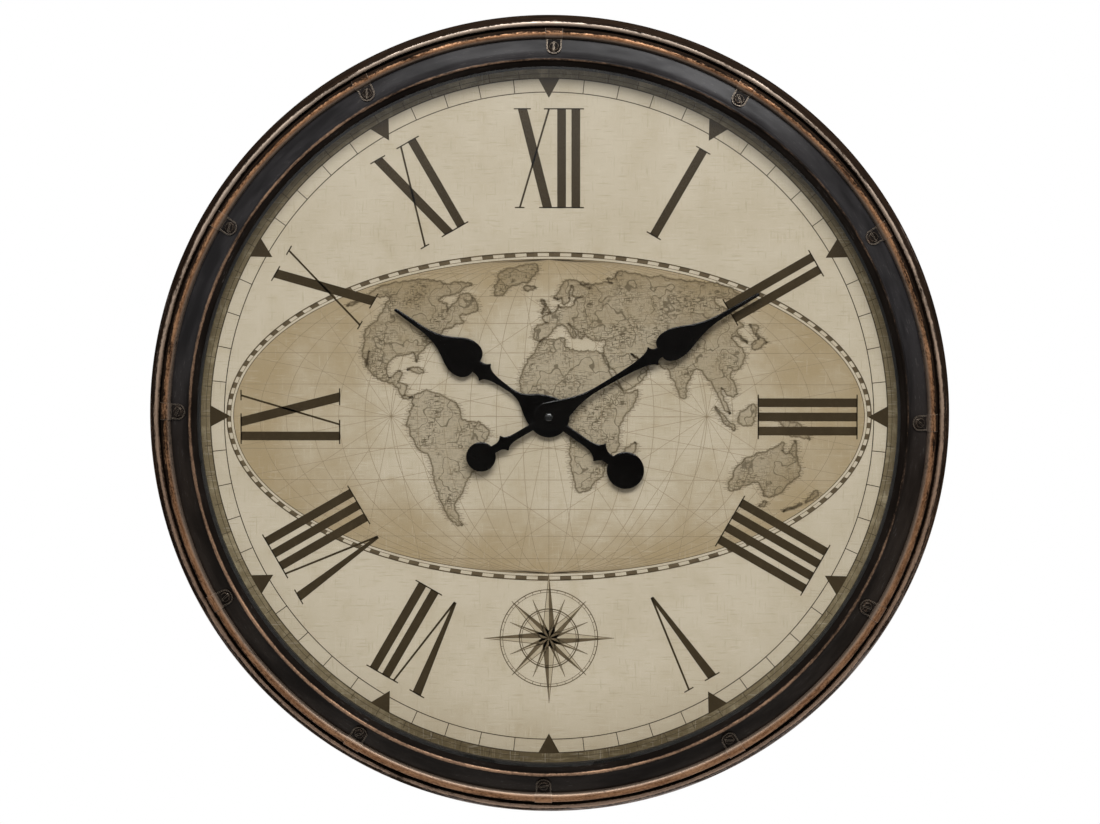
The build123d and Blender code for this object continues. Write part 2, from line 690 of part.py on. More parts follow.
def gear(center, teeth, module, middle, thickness, phase):
    """Spur gear with straight-flanked teeth, one of them centred on a clock angle."""
    pitch = 360 / teeth
    pitch_radius = teeth * module / 2
    corners = [
        (pitch_radius - DEDENDUM * module, -ROOT_SHARE),
        (pitch_radius + ADDENDUM * module, -TIP_SHARE),
        (pitch_radius + ADDENDUM * module, TIP_SHARE),
        (pitch_radius - DEDENDUM * module, ROOT_SHARE),
    ]
    points = [
        clock_point(center, radius, phase + (tooth + share) * pitch)
        for tooth in range(teeth)
        for radius, share in corners
    ]
    with BuildSketch(at_depth(middle - thickness / 2)) as outline:
        with BuildLine():
            Polyline(*points, close=True)
        make_face()
    extrude(outline.sketch, amount=thickness)


def direction(start, end):
    """Clock angle of the line from one axis to another."""
    return math.degrees(math.atan2(end[0] - start[0], end[1] - start[1]))


def meshing_phase(phase, teeth, line_angle, other_teeth):
    """Phase that puts another gear's gap opposite a tooth of this one."""
    turned_teeth = (line_angle - phase) * teeth / 360
    other_pitch = 360 / other_teeth
    return line_angle + 180 + turned_teeth * other_pitch + other_pitch / 2


third_pinion_phase = meshing_phase(0, CENTRE_TEETH, direction(hub, third_axis), THIRD_PINION_TEETH)
rotor_phase = meshing_phase(0, THIRD_TEETH, direction(third_axis, rotor_axis), ROTOR_TEETH)
minute_wheel_phase = meshing_phase(0, CANNON_TEETH, direction(hub, minute_wheel_axis), MINUTE_WHEEL_TEETH)
setting_phase = meshing_phase(
    minute_wheel_phase, MINUTE_WHEEL_TEETH, direction(minute_wheel_axis, setting_axis), SETTING_TEETH
)
hour_phase = meshing_phase(0, MINUTE_PINION_TEETH, direction(minute_wheel_axis, hub), HOUR_TEETH)

# Rear box of the movement, open in front and at the battery bay
with BuildPart() as movement_case:
    with BuildSketch(at_depth(movement_back)):
        with Locations((0, movement_z)):
            RectangleRounded(2 * movement_half_width, movement_height, MOVEMENT_CORNER)
    extrude(amount=plate_back - movement_back)
    with BuildSketch(at_depth(cavity_back)):
        with Locations((0, movement_z)):
            RectangleRounded(
                2 * inner_half_width,
                movement_height - 2 * MOVEMENT_WALL,
                MOVEMENT_CORNER - MOVEMENT_WALL,
            )
    extrude(amount=plate_back - cavity_back, mode=Mode.SUBTRACT)
    with BuildSketch(at_depth(cavity_back)):
        with Locations((0, partition_z)):
            Rectangle(2 * inner_half_width, MOVEMENT_WALL)
    extrude(amount=plate_back - cavity_back)
    with BuildSketch(at_depth(movement_back)):
        with Locations((0, battery_z)):
            Rectangle(BATTERY_LENGTH + 2 * FIT, 2 * bay_half_height)
    extrude(amount=MOVEMENT_WALL, mode=Mode.SUBTRACT)
    for post in arm_posts:
        disc(post, STATOR_POST_RADIUS, cavity_back, stator_back)
    for peg in circuit_pegs:
        disc(peg, BOARD_POST_RADIUS, cavity_back, circuit_back)
        disc(peg, BOARD_PEG_RADIUS, circuit_back, circuit_back + CIRCUIT_THICKNESS + RUN)
    disc(hub, CENTRE_PIVOT_RADIUS + FIT, movement_back, cavity_back, Mode.SUBTRACT)
    disc(setting_axis, CENTRE_PIVOT_RADIUS + FIT, movement_back, cavity_back, Mode.SUBTRACT)
    disc(third_axis, PIVOT_RADIUS + FIT, movement_back, cavity_back, Mode.SUBTRACT)
    disc(rotor_axis, PIVOT_RADIUS + FIT, movement_back, cavity_back, Mode.SUBTRACT)

# Front plate of the movement, with the stud of the minute wheel and the front pivot bosses
third_boss_back = centre_layer + PINION_LENGTH / 2 + RUN
rotor_boss_back = third_layer + PINION_LENGTH / 2 + RUN
setting_boss_back = minute_layer + PINION_LENGTH / 2 + RUN
with BuildPart() as movement_plate:
    with BuildSketch(at_depth(plate_back)):
        with Locations((0, movement_z)):
            RectangleRounded(2 * movement_half_width, movement_height, MOVEMENT_CORNER)
        Circle(BUSH_RADIUS + FIT, mode=Mode.SUBTRACT)
    extrude(amount=MOVEMENT_WALL)
    front_bosses = [(third_axis, third_boss_back), (rotor_axis, rotor_boss_back)]
    front_bosses.append((setting_axis, setting_boss_back))
    for place, boss_back in front_bosses:
        disc(place, PIVOT_RADIUS + FIT + BOSS_WALL, boss_back, plate_back)
        disc(place, PIVOT_RADIUS + FIT, boss_back, boss_back + PIVOT_LENGTH + RUN, Mode.SUBTRACT)
    disc(minute_wheel_axis, STUD_RADIUS, minute_layer - WHEEL_THICKNESS / 2, plate_back)

with BuildPart() as mounting_bush:
    disc(hub, BUSH_FLANGE_RADIUS, plate_back - BUSH_FLANGE, plate_back)
    disc(hub, BUSH_RADIUS, plate_back, bush_front)
    disc(hub, bush_bore, plate_back - BUSH_FLANGE, bush_front, Mode.SUBTRACT)

with BuildPart() as rubber_washer:
    ring(board_hole, RUBBER_WASHER_RADIUS, movement_front, board_back)

with BuildPart() as bush_washer:
    ring(BUSH_RADIUS + FIT, BUSH_WASHER_RADIUS, dial_front, nut_back)

with BuildPart() as bush_nut:
    with BuildSketch(at_depth(nut_back)):
        RegularPolygon(BUSH_NUT_FLATS / 2, 6, major_radius=False)
        Circle(BUSH_RADIUS + FIT, mode=Mode.SUBTRACT)
    extrude(amount=BUSH_NUT_HEIGHT)

# Battery lying across the bottom of the movement, and the bent leaf at each end of it
with BuildPart() as battery:
    with BuildSketch(Plane.YZ.offset(-BATTERY_LENGTH / 2)):
        with Locations((wall_y - battery_depth, battery_z)):
            Circle(BATTERY_RADIUS)
    extrude(amount=BATTERY_LENGTH - BATTERY_NUB_LENGTH)
    chamfer(edges().filter_by(GeomType.CIRCLE), length=BATTERY_CHAMFER)
    with BuildSketch(Plane.YZ.offset(BATTERY_LENGTH / 2 - BATTERY_NUB_LENGTH)):
        with Locations((wall_y - battery_depth, battery_z)):
            Circle(BATTERY_NUB_RADIUS)
    extrude(amount=BATTERY_NUB_LENGTH)

with BuildPart() as battery_contacts:
    for side in (-1, 1):
        touch = side * (BATTERY_LENGTH / 2 + FIT)
        seat = side * (inner_half_width - FIT)
        with BuildSketch(at_depth(battery_depth - CONTACT_WIDTH / 2)):
            with BuildLine():
                Polyline(
                    (touch, battery_z),
                    (seat - side * CONTACT_SHEET, battery_z + CONTACT_HALF_HEIGHT),
                    (seat, battery_z + CONTACT_HALF_HEIGHT),
                    (touch + side * CONTACT_SHEET, battery_z),
                    (seat, battery_z - CONTACT_HALF_HEIGHT),
                    (seat - side * CONTACT_SHEET, battery_z - CONTACT_HALF_HEIGHT),
                    close=True,
                )
            make_face()
        extrude(amount=CONTACT_WIDTH)

# Circuit board on its two pegs, and the crystal lying on it
with BuildPart() as circuit_board:
    with BuildSketch(at_depth(circuit_back)):
        with Locations(CIRCUIT_CENTER):
            Rectangle(CIRCUIT_WIDTH, CIRCUIT_HEIGHT)
        with Locations(*circuit_pegs):
            Circle(BOARD_PEG_RADIUS + FIT, mode=Mode.SUBTRACT)
    extrude(amount=CIRCUIT_THICKNESS)

crystal_depth = circuit_back + CIRCUIT_THICKNESS + CRYSTAL_RADIUS
with BuildPart() as quartz_crystal:
    with BuildSketch(Plane.YZ.offset(CIRCUIT_CENTER[0] - CRYSTAL_LENGTH / 2)):
        with Locations((wall_y - crystal_depth, CIRCUIT_CENTER[1])):
            Circle(CRYSTAL_RADIUS)
    extrude(amount=CRYSTAL_LENGTH)

# Motor: stator plate round the rotor, with the coil wound on its core
with BuildPart() as stator:
    with BuildSketch(at_depth(stator_back)):
        with Locations(rotor_axis):
            Rectangle(STATOR_BLOCK, STATOR_BLOCK)
        yoke_left = rotor_axis[0] + STATOR_ARM / 2
        arm_top = rotor_axis[1] - STATOR_YOKE_DROP + STATOR_YOKE_HEIGHT
        arm_bottom = coil_z - COIL_CORE
        with Locations(((yoke_left + stator_right) / 2, arm_top - STATOR_YOKE_HEIGHT / 2)):
            Rectangle(stator_right - yoke_left, STATOR_YOKE_HEIGHT)
        for arm_x, _ in arm_posts:
            with Locations((arm_x, (arm_top + arm_bottom) / 2)):
                Rectangle(STATOR_ARM, arm_top - arm_bottom)
        with Locations(((stator_left + stator_right) / 2, coil_z)):
            Rectangle(STATOR_SPAN, COIL_CORE)
        with Locations(rotor_axis):
            Circle(MAGNET_RADIUS + MAGNET_AIR_GAP, mode=Mode.SUBTRACT)
    extrude(amount=STATOR_THICKNESS)

coil_left = stator_left + STATOR_ARM + RUN
coil_right = stator_right - STATOR_ARM - RUN
coil_depth = stator_back + STATOR_THICKNESS / 2
with BuildPart() as drive_coil:
    with BuildSketch(Plane.YZ.offset(coil_left)):
        with Locations((wall_y - coil_depth, coil_z)):
            Circle(COIL_RADIUS - COIL_WAIST)
    extrude(amount=coil_right - coil_left)
    for flange_left in (coil_left, coil_right - COIL_FLANGE):
        with BuildSketch(Plane.YZ.offset(flange_left)):
            with Locations((wall_y - coil_depth, coil_z)):
                Circle(COIL_RADIUS)
        extrude(amount=COIL_FLANGE)
    with BuildSketch(Plane.YZ.offset(coil_left)):
        with Locations((wall_y - coil_depth, coil_z)):
            Rectangle(STATOR_THICKNESS + 2 * FIT, COIL_CORE + 2 * FIT)
    extrude(amount=coil_right - coil_left, mode=Mode.SUBTRACT)

with BuildPart() as rotor:
    disc(rotor_axis, PIVOT_RADIUS, pivot_back, rotor_boss_back + PIVOT_LENGTH)
    disc(rotor_axis, MAGNET_RADIUS, coil_depth - MAGNET_LENGTH / 2, coil_depth + MAGNET_LENGTH / 2)
    disc(rotor_axis, ARBOR_RADIUS, cavity_back + RUN, third_layer)
    gear(rotor_axis, ROTOR_TEETH, ROTOR_MODULE, third_layer, PINION_LENGTH, rotor_phase)

# Gear train from the rotor to the hands
with BuildPart() as third_wheel:
    disc(third_axis, PIVOT_RADIUS, pivot_back, third_boss_back + PIVOT_LENGTH)
    disc(third_axis, ARBOR_RADIUS, cavity_back + RUN, centre_layer)
    gear(third_axis, THIRD_TEETH, ROTOR_MODULE, third_layer, WHEEL_THICKNESS, 0)
    gear(third_axis, THIRD_PINION_TEETH, TRAIN_MODULE, centre_layer, PINION_LENGTH, third_pinion_phase)

with BuildPart() as centre_wheel:
    disc(hub, CENTRE_PIVOT_RADIUS, pivot_back, cavity_back + RUN)
    disc(hub, CENTRE_ARBOR_RADIUS, cavity_back + RUN, minute_collet_back)
    disc(hub, HAND_THREAD_RADIUS, minute_collet_back, cap_front - CAP_CROWN - RUN)
    gear(hub, CENTRE_TEETH, TRAIN_MODULE, centre_layer, WHEEL_THICKNESS, 0)
    gear(hub, CANNON_TEETH, TRAIN_MODULE, minute_layer, PINION_LENGTH, 0)

sleeve_back = minute_layer - WHEEL_THICKNESS / 2
with BuildPart() as minute_wheel:
    gear(
        minute_wheel_axis,
        MINUTE_WHEEL_TEETH,
        TRAIN_MODULE,
        minute_layer,
        WHEEL_THICKNESS,
        minute_wheel_phase,
    )
    gear(minute_wheel_axis, MINUTE_PINION_TEETH, HOUR_MODULE, hour_layer, PINION_LENGTH, 0)
    disc(minute_wheel_axis, STUD_RADIUS + FIT + SLEEVE_WALL, sleeve_back, plate_back - RUN)
    disc(minute_wheel_axis, STUD_RADIUS + FIT, sleeve_back, plate_back, Mode.SUBTRACT)

with BuildPart() as hour_wheel:
    gear(hub, HOUR_TEETH, HOUR_MODULE, hour_layer, WHEEL_THICKNESS, hour_phase)
    disc(hub, pipe_outer, hour_layer - WHEEL_THICKNESS / 2, pipe_front)
    disc(hub, pipe_inner, hour_layer - WHEEL_THICKNESS / 2, pipe_front, Mode.SUBTRACT)

with BuildPart() as setting_knob:
    with BuildSketch(at_depth(KNOB_WALL_GAP)):
        with Locations(setting_axis):
            Circle(KNOB_RADIUS)
            with PolarLocations(KNOB_RADIUS, KNOB_NOTCHES):
                Circle(KNOB_NOTCH_RADIUS, mode=Mode.SUBTRACT)
    extrude(amount=KNOB_HEIGHT - RUN)
    disc(setting_axis, CENTRE_PIVOT_RADIUS, movement_back - RUN, minute_layer)
    gear(setting_axis, SETTING_TEETH, TRAIN_MODULE, minute_layer, PINION_LENGTH, setting_phase)
    disc(setting_axis, PIVOT_RADIUS, minute_layer, setting_boss_back + PIVOT_LENGTH)


def hand_plane(angle, depth):
    """Plane at a depth, with its own y pointing to a clock angle."""
    turn = math.radians(angle)
    return Plane(
        origin=(0, wall_y - depth, 0),
        x_dir=(math.cos(turn), 0, -math.sin(turn)),
        z_dir=(0, -1, 0),
    )


def drawn_in(form, inset):
    """The same hand with its outline drawn in by an inset."""
    narrow = {"hub": form["hub"] - inset, "tail": form["tail"] - inset}
    for place in ("point", "spade", "collar", "waist", "tail_collar", "tail_neck", "disc"):
        reach, half = form[place]
        narrow[place] = (reach, half - inset)
    narrow["tip"] = (form["tip"][0] - inset, form["tip"][1] - inset)
    narrow["neck"] = (form["neck"][0] + inset, form["neck"][1] - inset)
    return narrow


def hand_outline(form, plane):
    """Spade hand with a collar, a round hub and a round counterweight."""
    tip, tip_half = form["tip"]
    point, point_half = form["point"]
    spade, spade_half = form["spade"]
    neck, neck_half = form["neck"]
    collar, collar_half = form["collar"]
    waist, waist_half = form["waist"]
    hub_radius = form["hub"]
    tail_half = form["tail"]
    tail_collar, tail_collar_half = form["tail_collar"]
    tail_neck, tail_neck_half = form["tail_neck"]
    disc_reach, disc_radius = form["disc"]
    taper = point - spade
    shoulder = spade - neck
    shaft = collar - waist
    tip_center = (0, tip - tip_half)
    hub_start = on_circle(hub, hub_radius, HUB_FLARE_ANGLE)
    hub_lead = on_circle(hub_start, HUB_FLARE_LEAD * hub_radius, HUB_FLARE_ANGLE + 90)
    hub_end_angle = -math.degrees(math.acos(tail_half / hub_radius))
    hub_middle = on_circle(hub, hub_radius, (HUB_FLARE_ANGLE + hub_end_angle) / 2)
    hub_end = on_circle(hub, hub_radius, hub_end_angle)
    disc_center = (0, -disc_reach)
    disc_start = on_circle(disc_center, disc_radius, math.degrees(math.acos(tail_neck_half / disc_radius)))
    with BuildSketch(plane) as outline:
        with BuildLine():
            ThreePointArc(*[on_circle(tip_center, tip_half, angle) for angle in (90, 45, 0)])
            Line((tip_half, tip - tip_half), (point_half, point))
            Bezier(
                (point_half, point),
                (POINT_FLARE * point_half, spade + TAPER_HOLLOW * taper),
                (spade_half, spade + TAPER_FULLNESS * taper),
                (spade_half, spade),
            )
            Bezier(
                (spade_half, spade),
                (spade_half, spade - SHOULDER_ROUND * shoulder),
                (SHOULDER_ROUND * spade_half, neck),
                (neck_half, neck),
            )
            Bezier(
                (neck_half, neck),
                (neck_half, collar + COLLAR_HOLLOW * (neck - collar)),
                (collar_half, collar),
            )
            Line((collar_half, collar), (collar_half, collar - COLLAR_RIM))
            Bezier(
                (collar_half, collar - COLLAR_RIM),
                (SHAFT_FLARE * waist_half, collar - COLLAR_RIM - SHAFT_FLARE_REACH * shaft),
                (SHAFT_SWELL * waist_half, collar - SHAFT_SWELL_REACH * shaft),
                (waist_half, waist),
            )
            Bezier((waist_half, waist), (waist_half, HUB_FLARE_START * waist), hub_lead, hub_start)
            ThreePointArc(hub_start, hub_middle, hub_end)
            Line(hub_end, (tail_half, -TAIL_STRAIGHT * tail_collar))
            Bezier(
                (tail_half, -TAIL_STRAIGHT * tail_collar),
                (tail_half, -TAIL_FLARE * tail_collar),
                (tail_collar_half, -tail_collar),
            )
            Line((tail_collar_half, -tail_collar), (tail_collar_half, -tail_collar - COLLAR_RIM))
            Bezier(
                (tail_collar_half, -tail_collar - COLLAR_RIM),
                (tail_neck_half, -tail_collar - COLLAR_RIM - TAIL_NECK_HOLLOW * (tail_neck - tail_collar)),
                (tail_neck_half, -tail_neck),
            )
            Line((tail_neck_half, -tail_neck), disc_start)
            ThreePointArc(
                disc_start,
                on_circle(disc_center, disc_radius, 0),
                on_circle(disc_center, disc_radius, -90),
            )
            mirror(about=Plane.YZ)
        make_face()
    return outline.sketch


def bevelled_hand(form, angle, back, bore):
    """Hand with bevelled front edges and a hole for its collet."""
    bevel_back = back + HAND_SHEET - HAND_BEVEL_RISE
    extrude(hand_outline(form, hand_plane(angle, back)), amount=bevel_back - back)
    bevel_foot = hand_outline(form, hand_plane(angle, bevel_back))
    bevel_top = hand_outline(drawn_in(form, HAND_BEVEL), hand_plane(angle, back + HAND_SHEET))
    loft([bevel_foot, bevel_top], ruled=True)
    disc(hub, bore, back, back + HAND_SHEET, Mode.SUBTRACT)


# Hour hand on its collet, at the hour that goes with the minute hand
hour_barrel = pipe_outer + FIT + HOUR_COLLET_WALL
hour_angle = HOUR_START + MINUTE_ANGLE / 12
with BuildPart() as hour_hand:
    bevelled_hand(HOUR_HAND, hour_angle, hour_hand_back, hour_barrel + FIT)

with BuildPart() as hour_collet:
    ring(pipe_outer + FIT, HOUR_COLLET_RADIUS, hour_collet_back, hour_hand_back)
    ring(pipe_outer + FIT, hour_barrel, hour_hand_back, hour_hand_front)

# Minute hand on its collet, under the domed nut
minute_barrel = HAND_THREAD_RADIUS + FIT + MINUTE_COLLET_WALL
with BuildPart() as minute_hand:
    bevelled_hand(MINUTE_HAND, MINUTE_ANGLE, minute_hand_back, minute_barrel + FIT)

with BuildPart() as minute_collet:
    ring(HAND_THREAD_RADIUS + FIT, MINUTE_COLLET_RADIUS, minute_collet_back, minute_hand_back)
    ring(HAND_THREAD_RADIUS + FIT, minute_barrel, minute_hand_back, minute_hand_front)

with BuildPart() as cap_nut:
    with BuildSketch():
        cap_rim = minute_hand_front + CAP_RIM
        dome_rise = cap_front - cap_rim
        with BuildLine():
            Polyline(
                section(0, cap_front),
                section(0, minute_hand_front),
                section(CAP_RADIUS, minute_hand_front),
                section(CAP_RADIUS, cap_rim),
            )
            EllipticalCenterArc(section(0, cap_rim), CAP_RADIUS, dome_rise, 270, arc_size=90)
        make_face()
    revolve(axis=Axis.Y)
    disc(hub, HAND_THREAD_RADIUS + FIT, minute_hand_front, cap_front - CAP_CROWN, Mode.SUBTRACT)

pieces = {
    "case_ring": case_ring,
    "bezel_ring": bezel_ring,
    "rim_clips": rim_clips,
    "rim_clip_screws": rim_clip_screws,
    "glass_pane": glass_pane,
    "glass_gasket": glass_gasket,
    "spacer_ring": spacer_ring,
    "dial_sheet": dial_sheet,
    "dial_board": dial_board,
    "board_clips": board_clips,
    "board_clip_screws": board_clip_screws,
    "hanger_plate": hanger_plate,
    "hanger_rivets": hanger_rivets,
    "movement_case": movement_case,
    "movement_plate": movement_plate,
    "mounting_bush": mounting_bush,
    "rubber_washer": rubber_washer,
    "bush_washer": bush_washer,
    "bush_nut": bush_nut,
    "battery": battery,
    "battery_contacts": battery_contacts,
    "circuit_board": circuit_board,
    "quartz_crystal": quartz_crystal,
    "stator": stator,
    "drive_coil": drive_coil,
    "rotor": rotor,
    "third_wheel": third_wheel,
    "centre_wheel": centre_wheel,
    "minute_wheel": minute_wheel,
    "hour_wheel": hour_wheel,
    "setting_knob": setting_knob,
    "hour_hand": hour_hand,
    "hour_collet": hour_collet,
    "minute_hand": minute_hand,
    "minute_collet": minute_collet,
    "cap_nut": cap_nut,
}
for name, piece in pieces.items():
    piece.part.label = name
    export_step(piece.part, f"parts/{name}.step")
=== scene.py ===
import math

import bpy
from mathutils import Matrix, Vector


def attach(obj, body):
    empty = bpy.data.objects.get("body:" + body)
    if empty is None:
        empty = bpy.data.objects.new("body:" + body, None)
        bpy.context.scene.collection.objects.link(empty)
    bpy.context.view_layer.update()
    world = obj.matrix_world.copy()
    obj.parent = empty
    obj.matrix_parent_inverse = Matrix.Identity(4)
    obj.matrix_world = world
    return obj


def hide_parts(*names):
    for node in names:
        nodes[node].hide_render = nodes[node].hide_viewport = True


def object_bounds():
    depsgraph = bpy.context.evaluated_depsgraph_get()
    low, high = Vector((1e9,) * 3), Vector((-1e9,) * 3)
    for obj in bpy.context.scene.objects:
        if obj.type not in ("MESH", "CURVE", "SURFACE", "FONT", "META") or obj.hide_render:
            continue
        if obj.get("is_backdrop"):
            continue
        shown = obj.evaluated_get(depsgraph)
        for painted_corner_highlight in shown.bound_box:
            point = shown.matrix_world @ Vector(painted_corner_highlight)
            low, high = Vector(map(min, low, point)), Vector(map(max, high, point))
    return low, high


# Round wall clock: bronze rim with strap clips, glass, a printed paper dial, spade hands and a movement.
# Lengths are in millimetres where a name or a helper says so, and in metres in Blender.
# A depth is the distance in front of the wall, and a clock angle runs clockwise from 12.

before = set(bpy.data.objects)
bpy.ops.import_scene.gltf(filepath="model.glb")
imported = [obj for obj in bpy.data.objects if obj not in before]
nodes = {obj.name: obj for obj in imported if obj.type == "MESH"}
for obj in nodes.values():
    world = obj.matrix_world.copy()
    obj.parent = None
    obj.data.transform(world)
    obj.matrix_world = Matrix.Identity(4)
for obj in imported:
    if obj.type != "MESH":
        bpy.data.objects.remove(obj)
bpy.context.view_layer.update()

MM = 0.001
WALL_Y = 21.9
DIAL_DEPTH = 24.7
RING_STEPS = 480
SHARP_ANGLE = math.radians(35)
MAP_HALF_WIDTH = 300.0
MAP_HALF_HEIGHT = 150.0
TRACK_OUTER = 322.0


class Nodes:
    """Short names for the nodes of one tree."""

    def __init__(self, tree):
        self.tree = tree

    def node(self, kind, **inputs):
        made = self.tree.nodes.new("ShaderNode" + kind)
        self.feed(made, inputs)
        return made

    def feed(self, made, inputs):
        """Links or sets inputs by name, or by number as i0, i1 and so on."""
        for key, value in inputs.items():
            socket = made.inputs[int(key[1:])] if key[0] == "i" and key[1:].isdigit() else made.inputs[key]
            if isinstance(value, bpy.types.NodeSocket):
                self.tree.links.new(value, socket)
            else:
                socket.default_value = value

    def math(self, operation, first, second=0.0, third=0.0):
        made = self.tree.nodes.new("ShaderNodeMath")
        made.operation = operation
        self.feed(made, {"i0": first, "i1": second, "i2": third})
        return made.outputs[0]

    def plus(self, first, second):
        return self.math("ADD", first, second)

    def minus(self, first, second):
        return self.math("SUBTRACT", first, second)

    def times(self, first, second):
        return self.math("MULTIPLY", first, second)

    def most(self, first, second):
        return self.math("MAXIMUM", first, second)

    def length(self, first, second):
        """Length of the vector with these two parts."""
        return self.math("SQRT", self.plus(self.times(first, first), self.times(second, second)))

    def span(self, value, low, high, to_low=0.0, to_high=1.0):
        """Smooth step between to_low at low and to_high at high."""
        made = self.tree.nodes.new("ShaderNodeMapRange")
        made.interpolation_type = "SMOOTHSTEP"
        self.feed(made, {"i0": value, "i1": low, "i2": high, "i3": to_low, "i4": to_high})
        return made.outputs[0]


class Shader(Nodes):
    """A material with one Principled shader, and the patterns that feed it."""

    def __init__(self, name):
        self.material = bpy.data.materials.new(name)
        self.material.use_nodes = True
        super().__init__(self.material.node_tree)
        self.bsdf = self.tree.nodes["Principled BSDF"]
        self.output = self.tree.nodes["Material Output"]
        self._place = None

    def set(self, **inputs):
        names = {"color": "Base Color", "rough": "Roughness", "metal": "Metallic", "normal": "Normal",
                 "specular": "Specular IOR Level", "coat": "Coat Weight", "coat_rough": "Coat Roughness"}
        self.feed(self.bsdf, {names[key]: value for key, value in inputs.items()})
        return self.material

    def place(self):
        if self._place is None:
            self._place = self.node("TexCoord").outputs["Object"]
        return self._place

    def noise(self, scale, detail=4.0, rough=0.55, stretch=None):
        vector = self.place()
        if stretch:
            vector = self.node("Mapping", Vector=vector, Scale=stretch).outputs[0]
        made = self.node("TexNoise", Vector=vector, Scale=scale, Detail=detail, Roughness=rough)
        return made.outputs["Fac"]

    def mix(self, share, first, second, blend="MIX"):
        made = self.tree.nodes.new("ShaderNodeMix")
        made.data_type = "RGBA"
        made.blend_type = blend
        made.clamp_result = True
        first, second = ((*value, 1.0) if isinstance(value, tuple) else value for value in (first, second))
        self.feed(made, {"i0": share, "i6": first, "i7": second})
        return made.outputs[2]

    def bump(self, height, strength, distance):
        return self.node("Bump", Height=height, Strength=strength, Distance=distance).outputs[0]

    def polar(self):
        """Radius from the hands' axis, x and z over that radius, and the three coordinates."""
        parts = self.node("SeparateXYZ", Vector=self.place()).outputs
        radius = self.most(self.length(parts[0], parts[2]), 0.0001)
        return radius, self.math("DIVIDE", parts[0], radius), self.math("DIVIDE", parts[2], radius), parts

    def ring_noise(self, polar, turns, across, detail=3.0, rough=0.6):
        """Noise that is drawn out along the ring and meets itself without a seam."""
        radius, cosine, sine, parts = polar
        vector = self.node(
            "CombineXYZ", X=self.times(cosine, turns), Y=self.times(sine, turns),
            Z=self.times(radius, across)).outputs[0]
        made = self.tree.nodes.new("ShaderNodeTexNoise")
        made.noise_dimensions = "4D"
        self.feed(made, {"Vector": vector, "W": self.times(parts[1], across), "Scale": 1.0,
                         "Detail": detail, "Roughness": rough})
        return made.outputs["Fac"]


LACQUER = (0.0062, 0.0047, 0.0038)
SCUFFED = (0.07, 0.064, 0.06)
COPPER = (0.155, 0.069, 0.03)
BRIGHT = (0.32, 0.172, 0.09)
PALE_METAL_AND_HIGHLIGHT = (0.50, 0.40, 0.315)
SILVER_SHEEN = (0.16, 0.128, 0.102)
EDGE_WEAR_AND_GLINT = (0.34, 0.28, 0.22)
SKY_SHEEN_BLUE = (0.017, 0.0155, 0.016)
UMBER = (0.0175, 0.0128, 0.0098)
BROWN_AND_GROOVE_LIGHT = (0.026, 0.0155, 0.0098)

# Radii in metres between which one form of the rim gives way to the next
LIP_TO_CHANNEL = (0.3408, 0.3432)
CHANNEL_TO_INNER_BEAD = (0.3455, 0.3440)
CHANNEL_TO_FLANK = (0.350, 0.356)
CHANNEL_TO_WIDE_BEAD = (0.361, 0.366)
WIDE_BEAD_TO_CHANNEL = (0.3615, 0.3590)
WIDE_BEAD_TO_FLANK = (0.3648, 0.3612)
FLANK_TO_CREST = (0.3635, 0.3650)
CREST_TO_GROOVE = (0.3665, 0.3685)
GROOVE_TO_POLISH = (0.368, 0.371)
GROOVE_TO_OUTER_BEAD = (0.3695, 0.3710)
WALL_TO_OUTER_BEAD = (0.3778, 0.3766)
# The y coordinates in metres between the foot of a strap and its crest
FOOT_TO_CREST = (-0.0075, -0.0115)
# How much wear a place is spared by the way it faces, which paints shade on upward faces and highlights on
# downward ones, and the inner bead by its side of the ring, a painted highlight at its lower left
FACING_WEAR_AND_LIGHT_SHARE = 0.6
PAINTED_CORNER_SHARE = 0.2


def shaded(color, share):
    """The colour made darker or lighter."""
    return tuple(share * part for part in color)


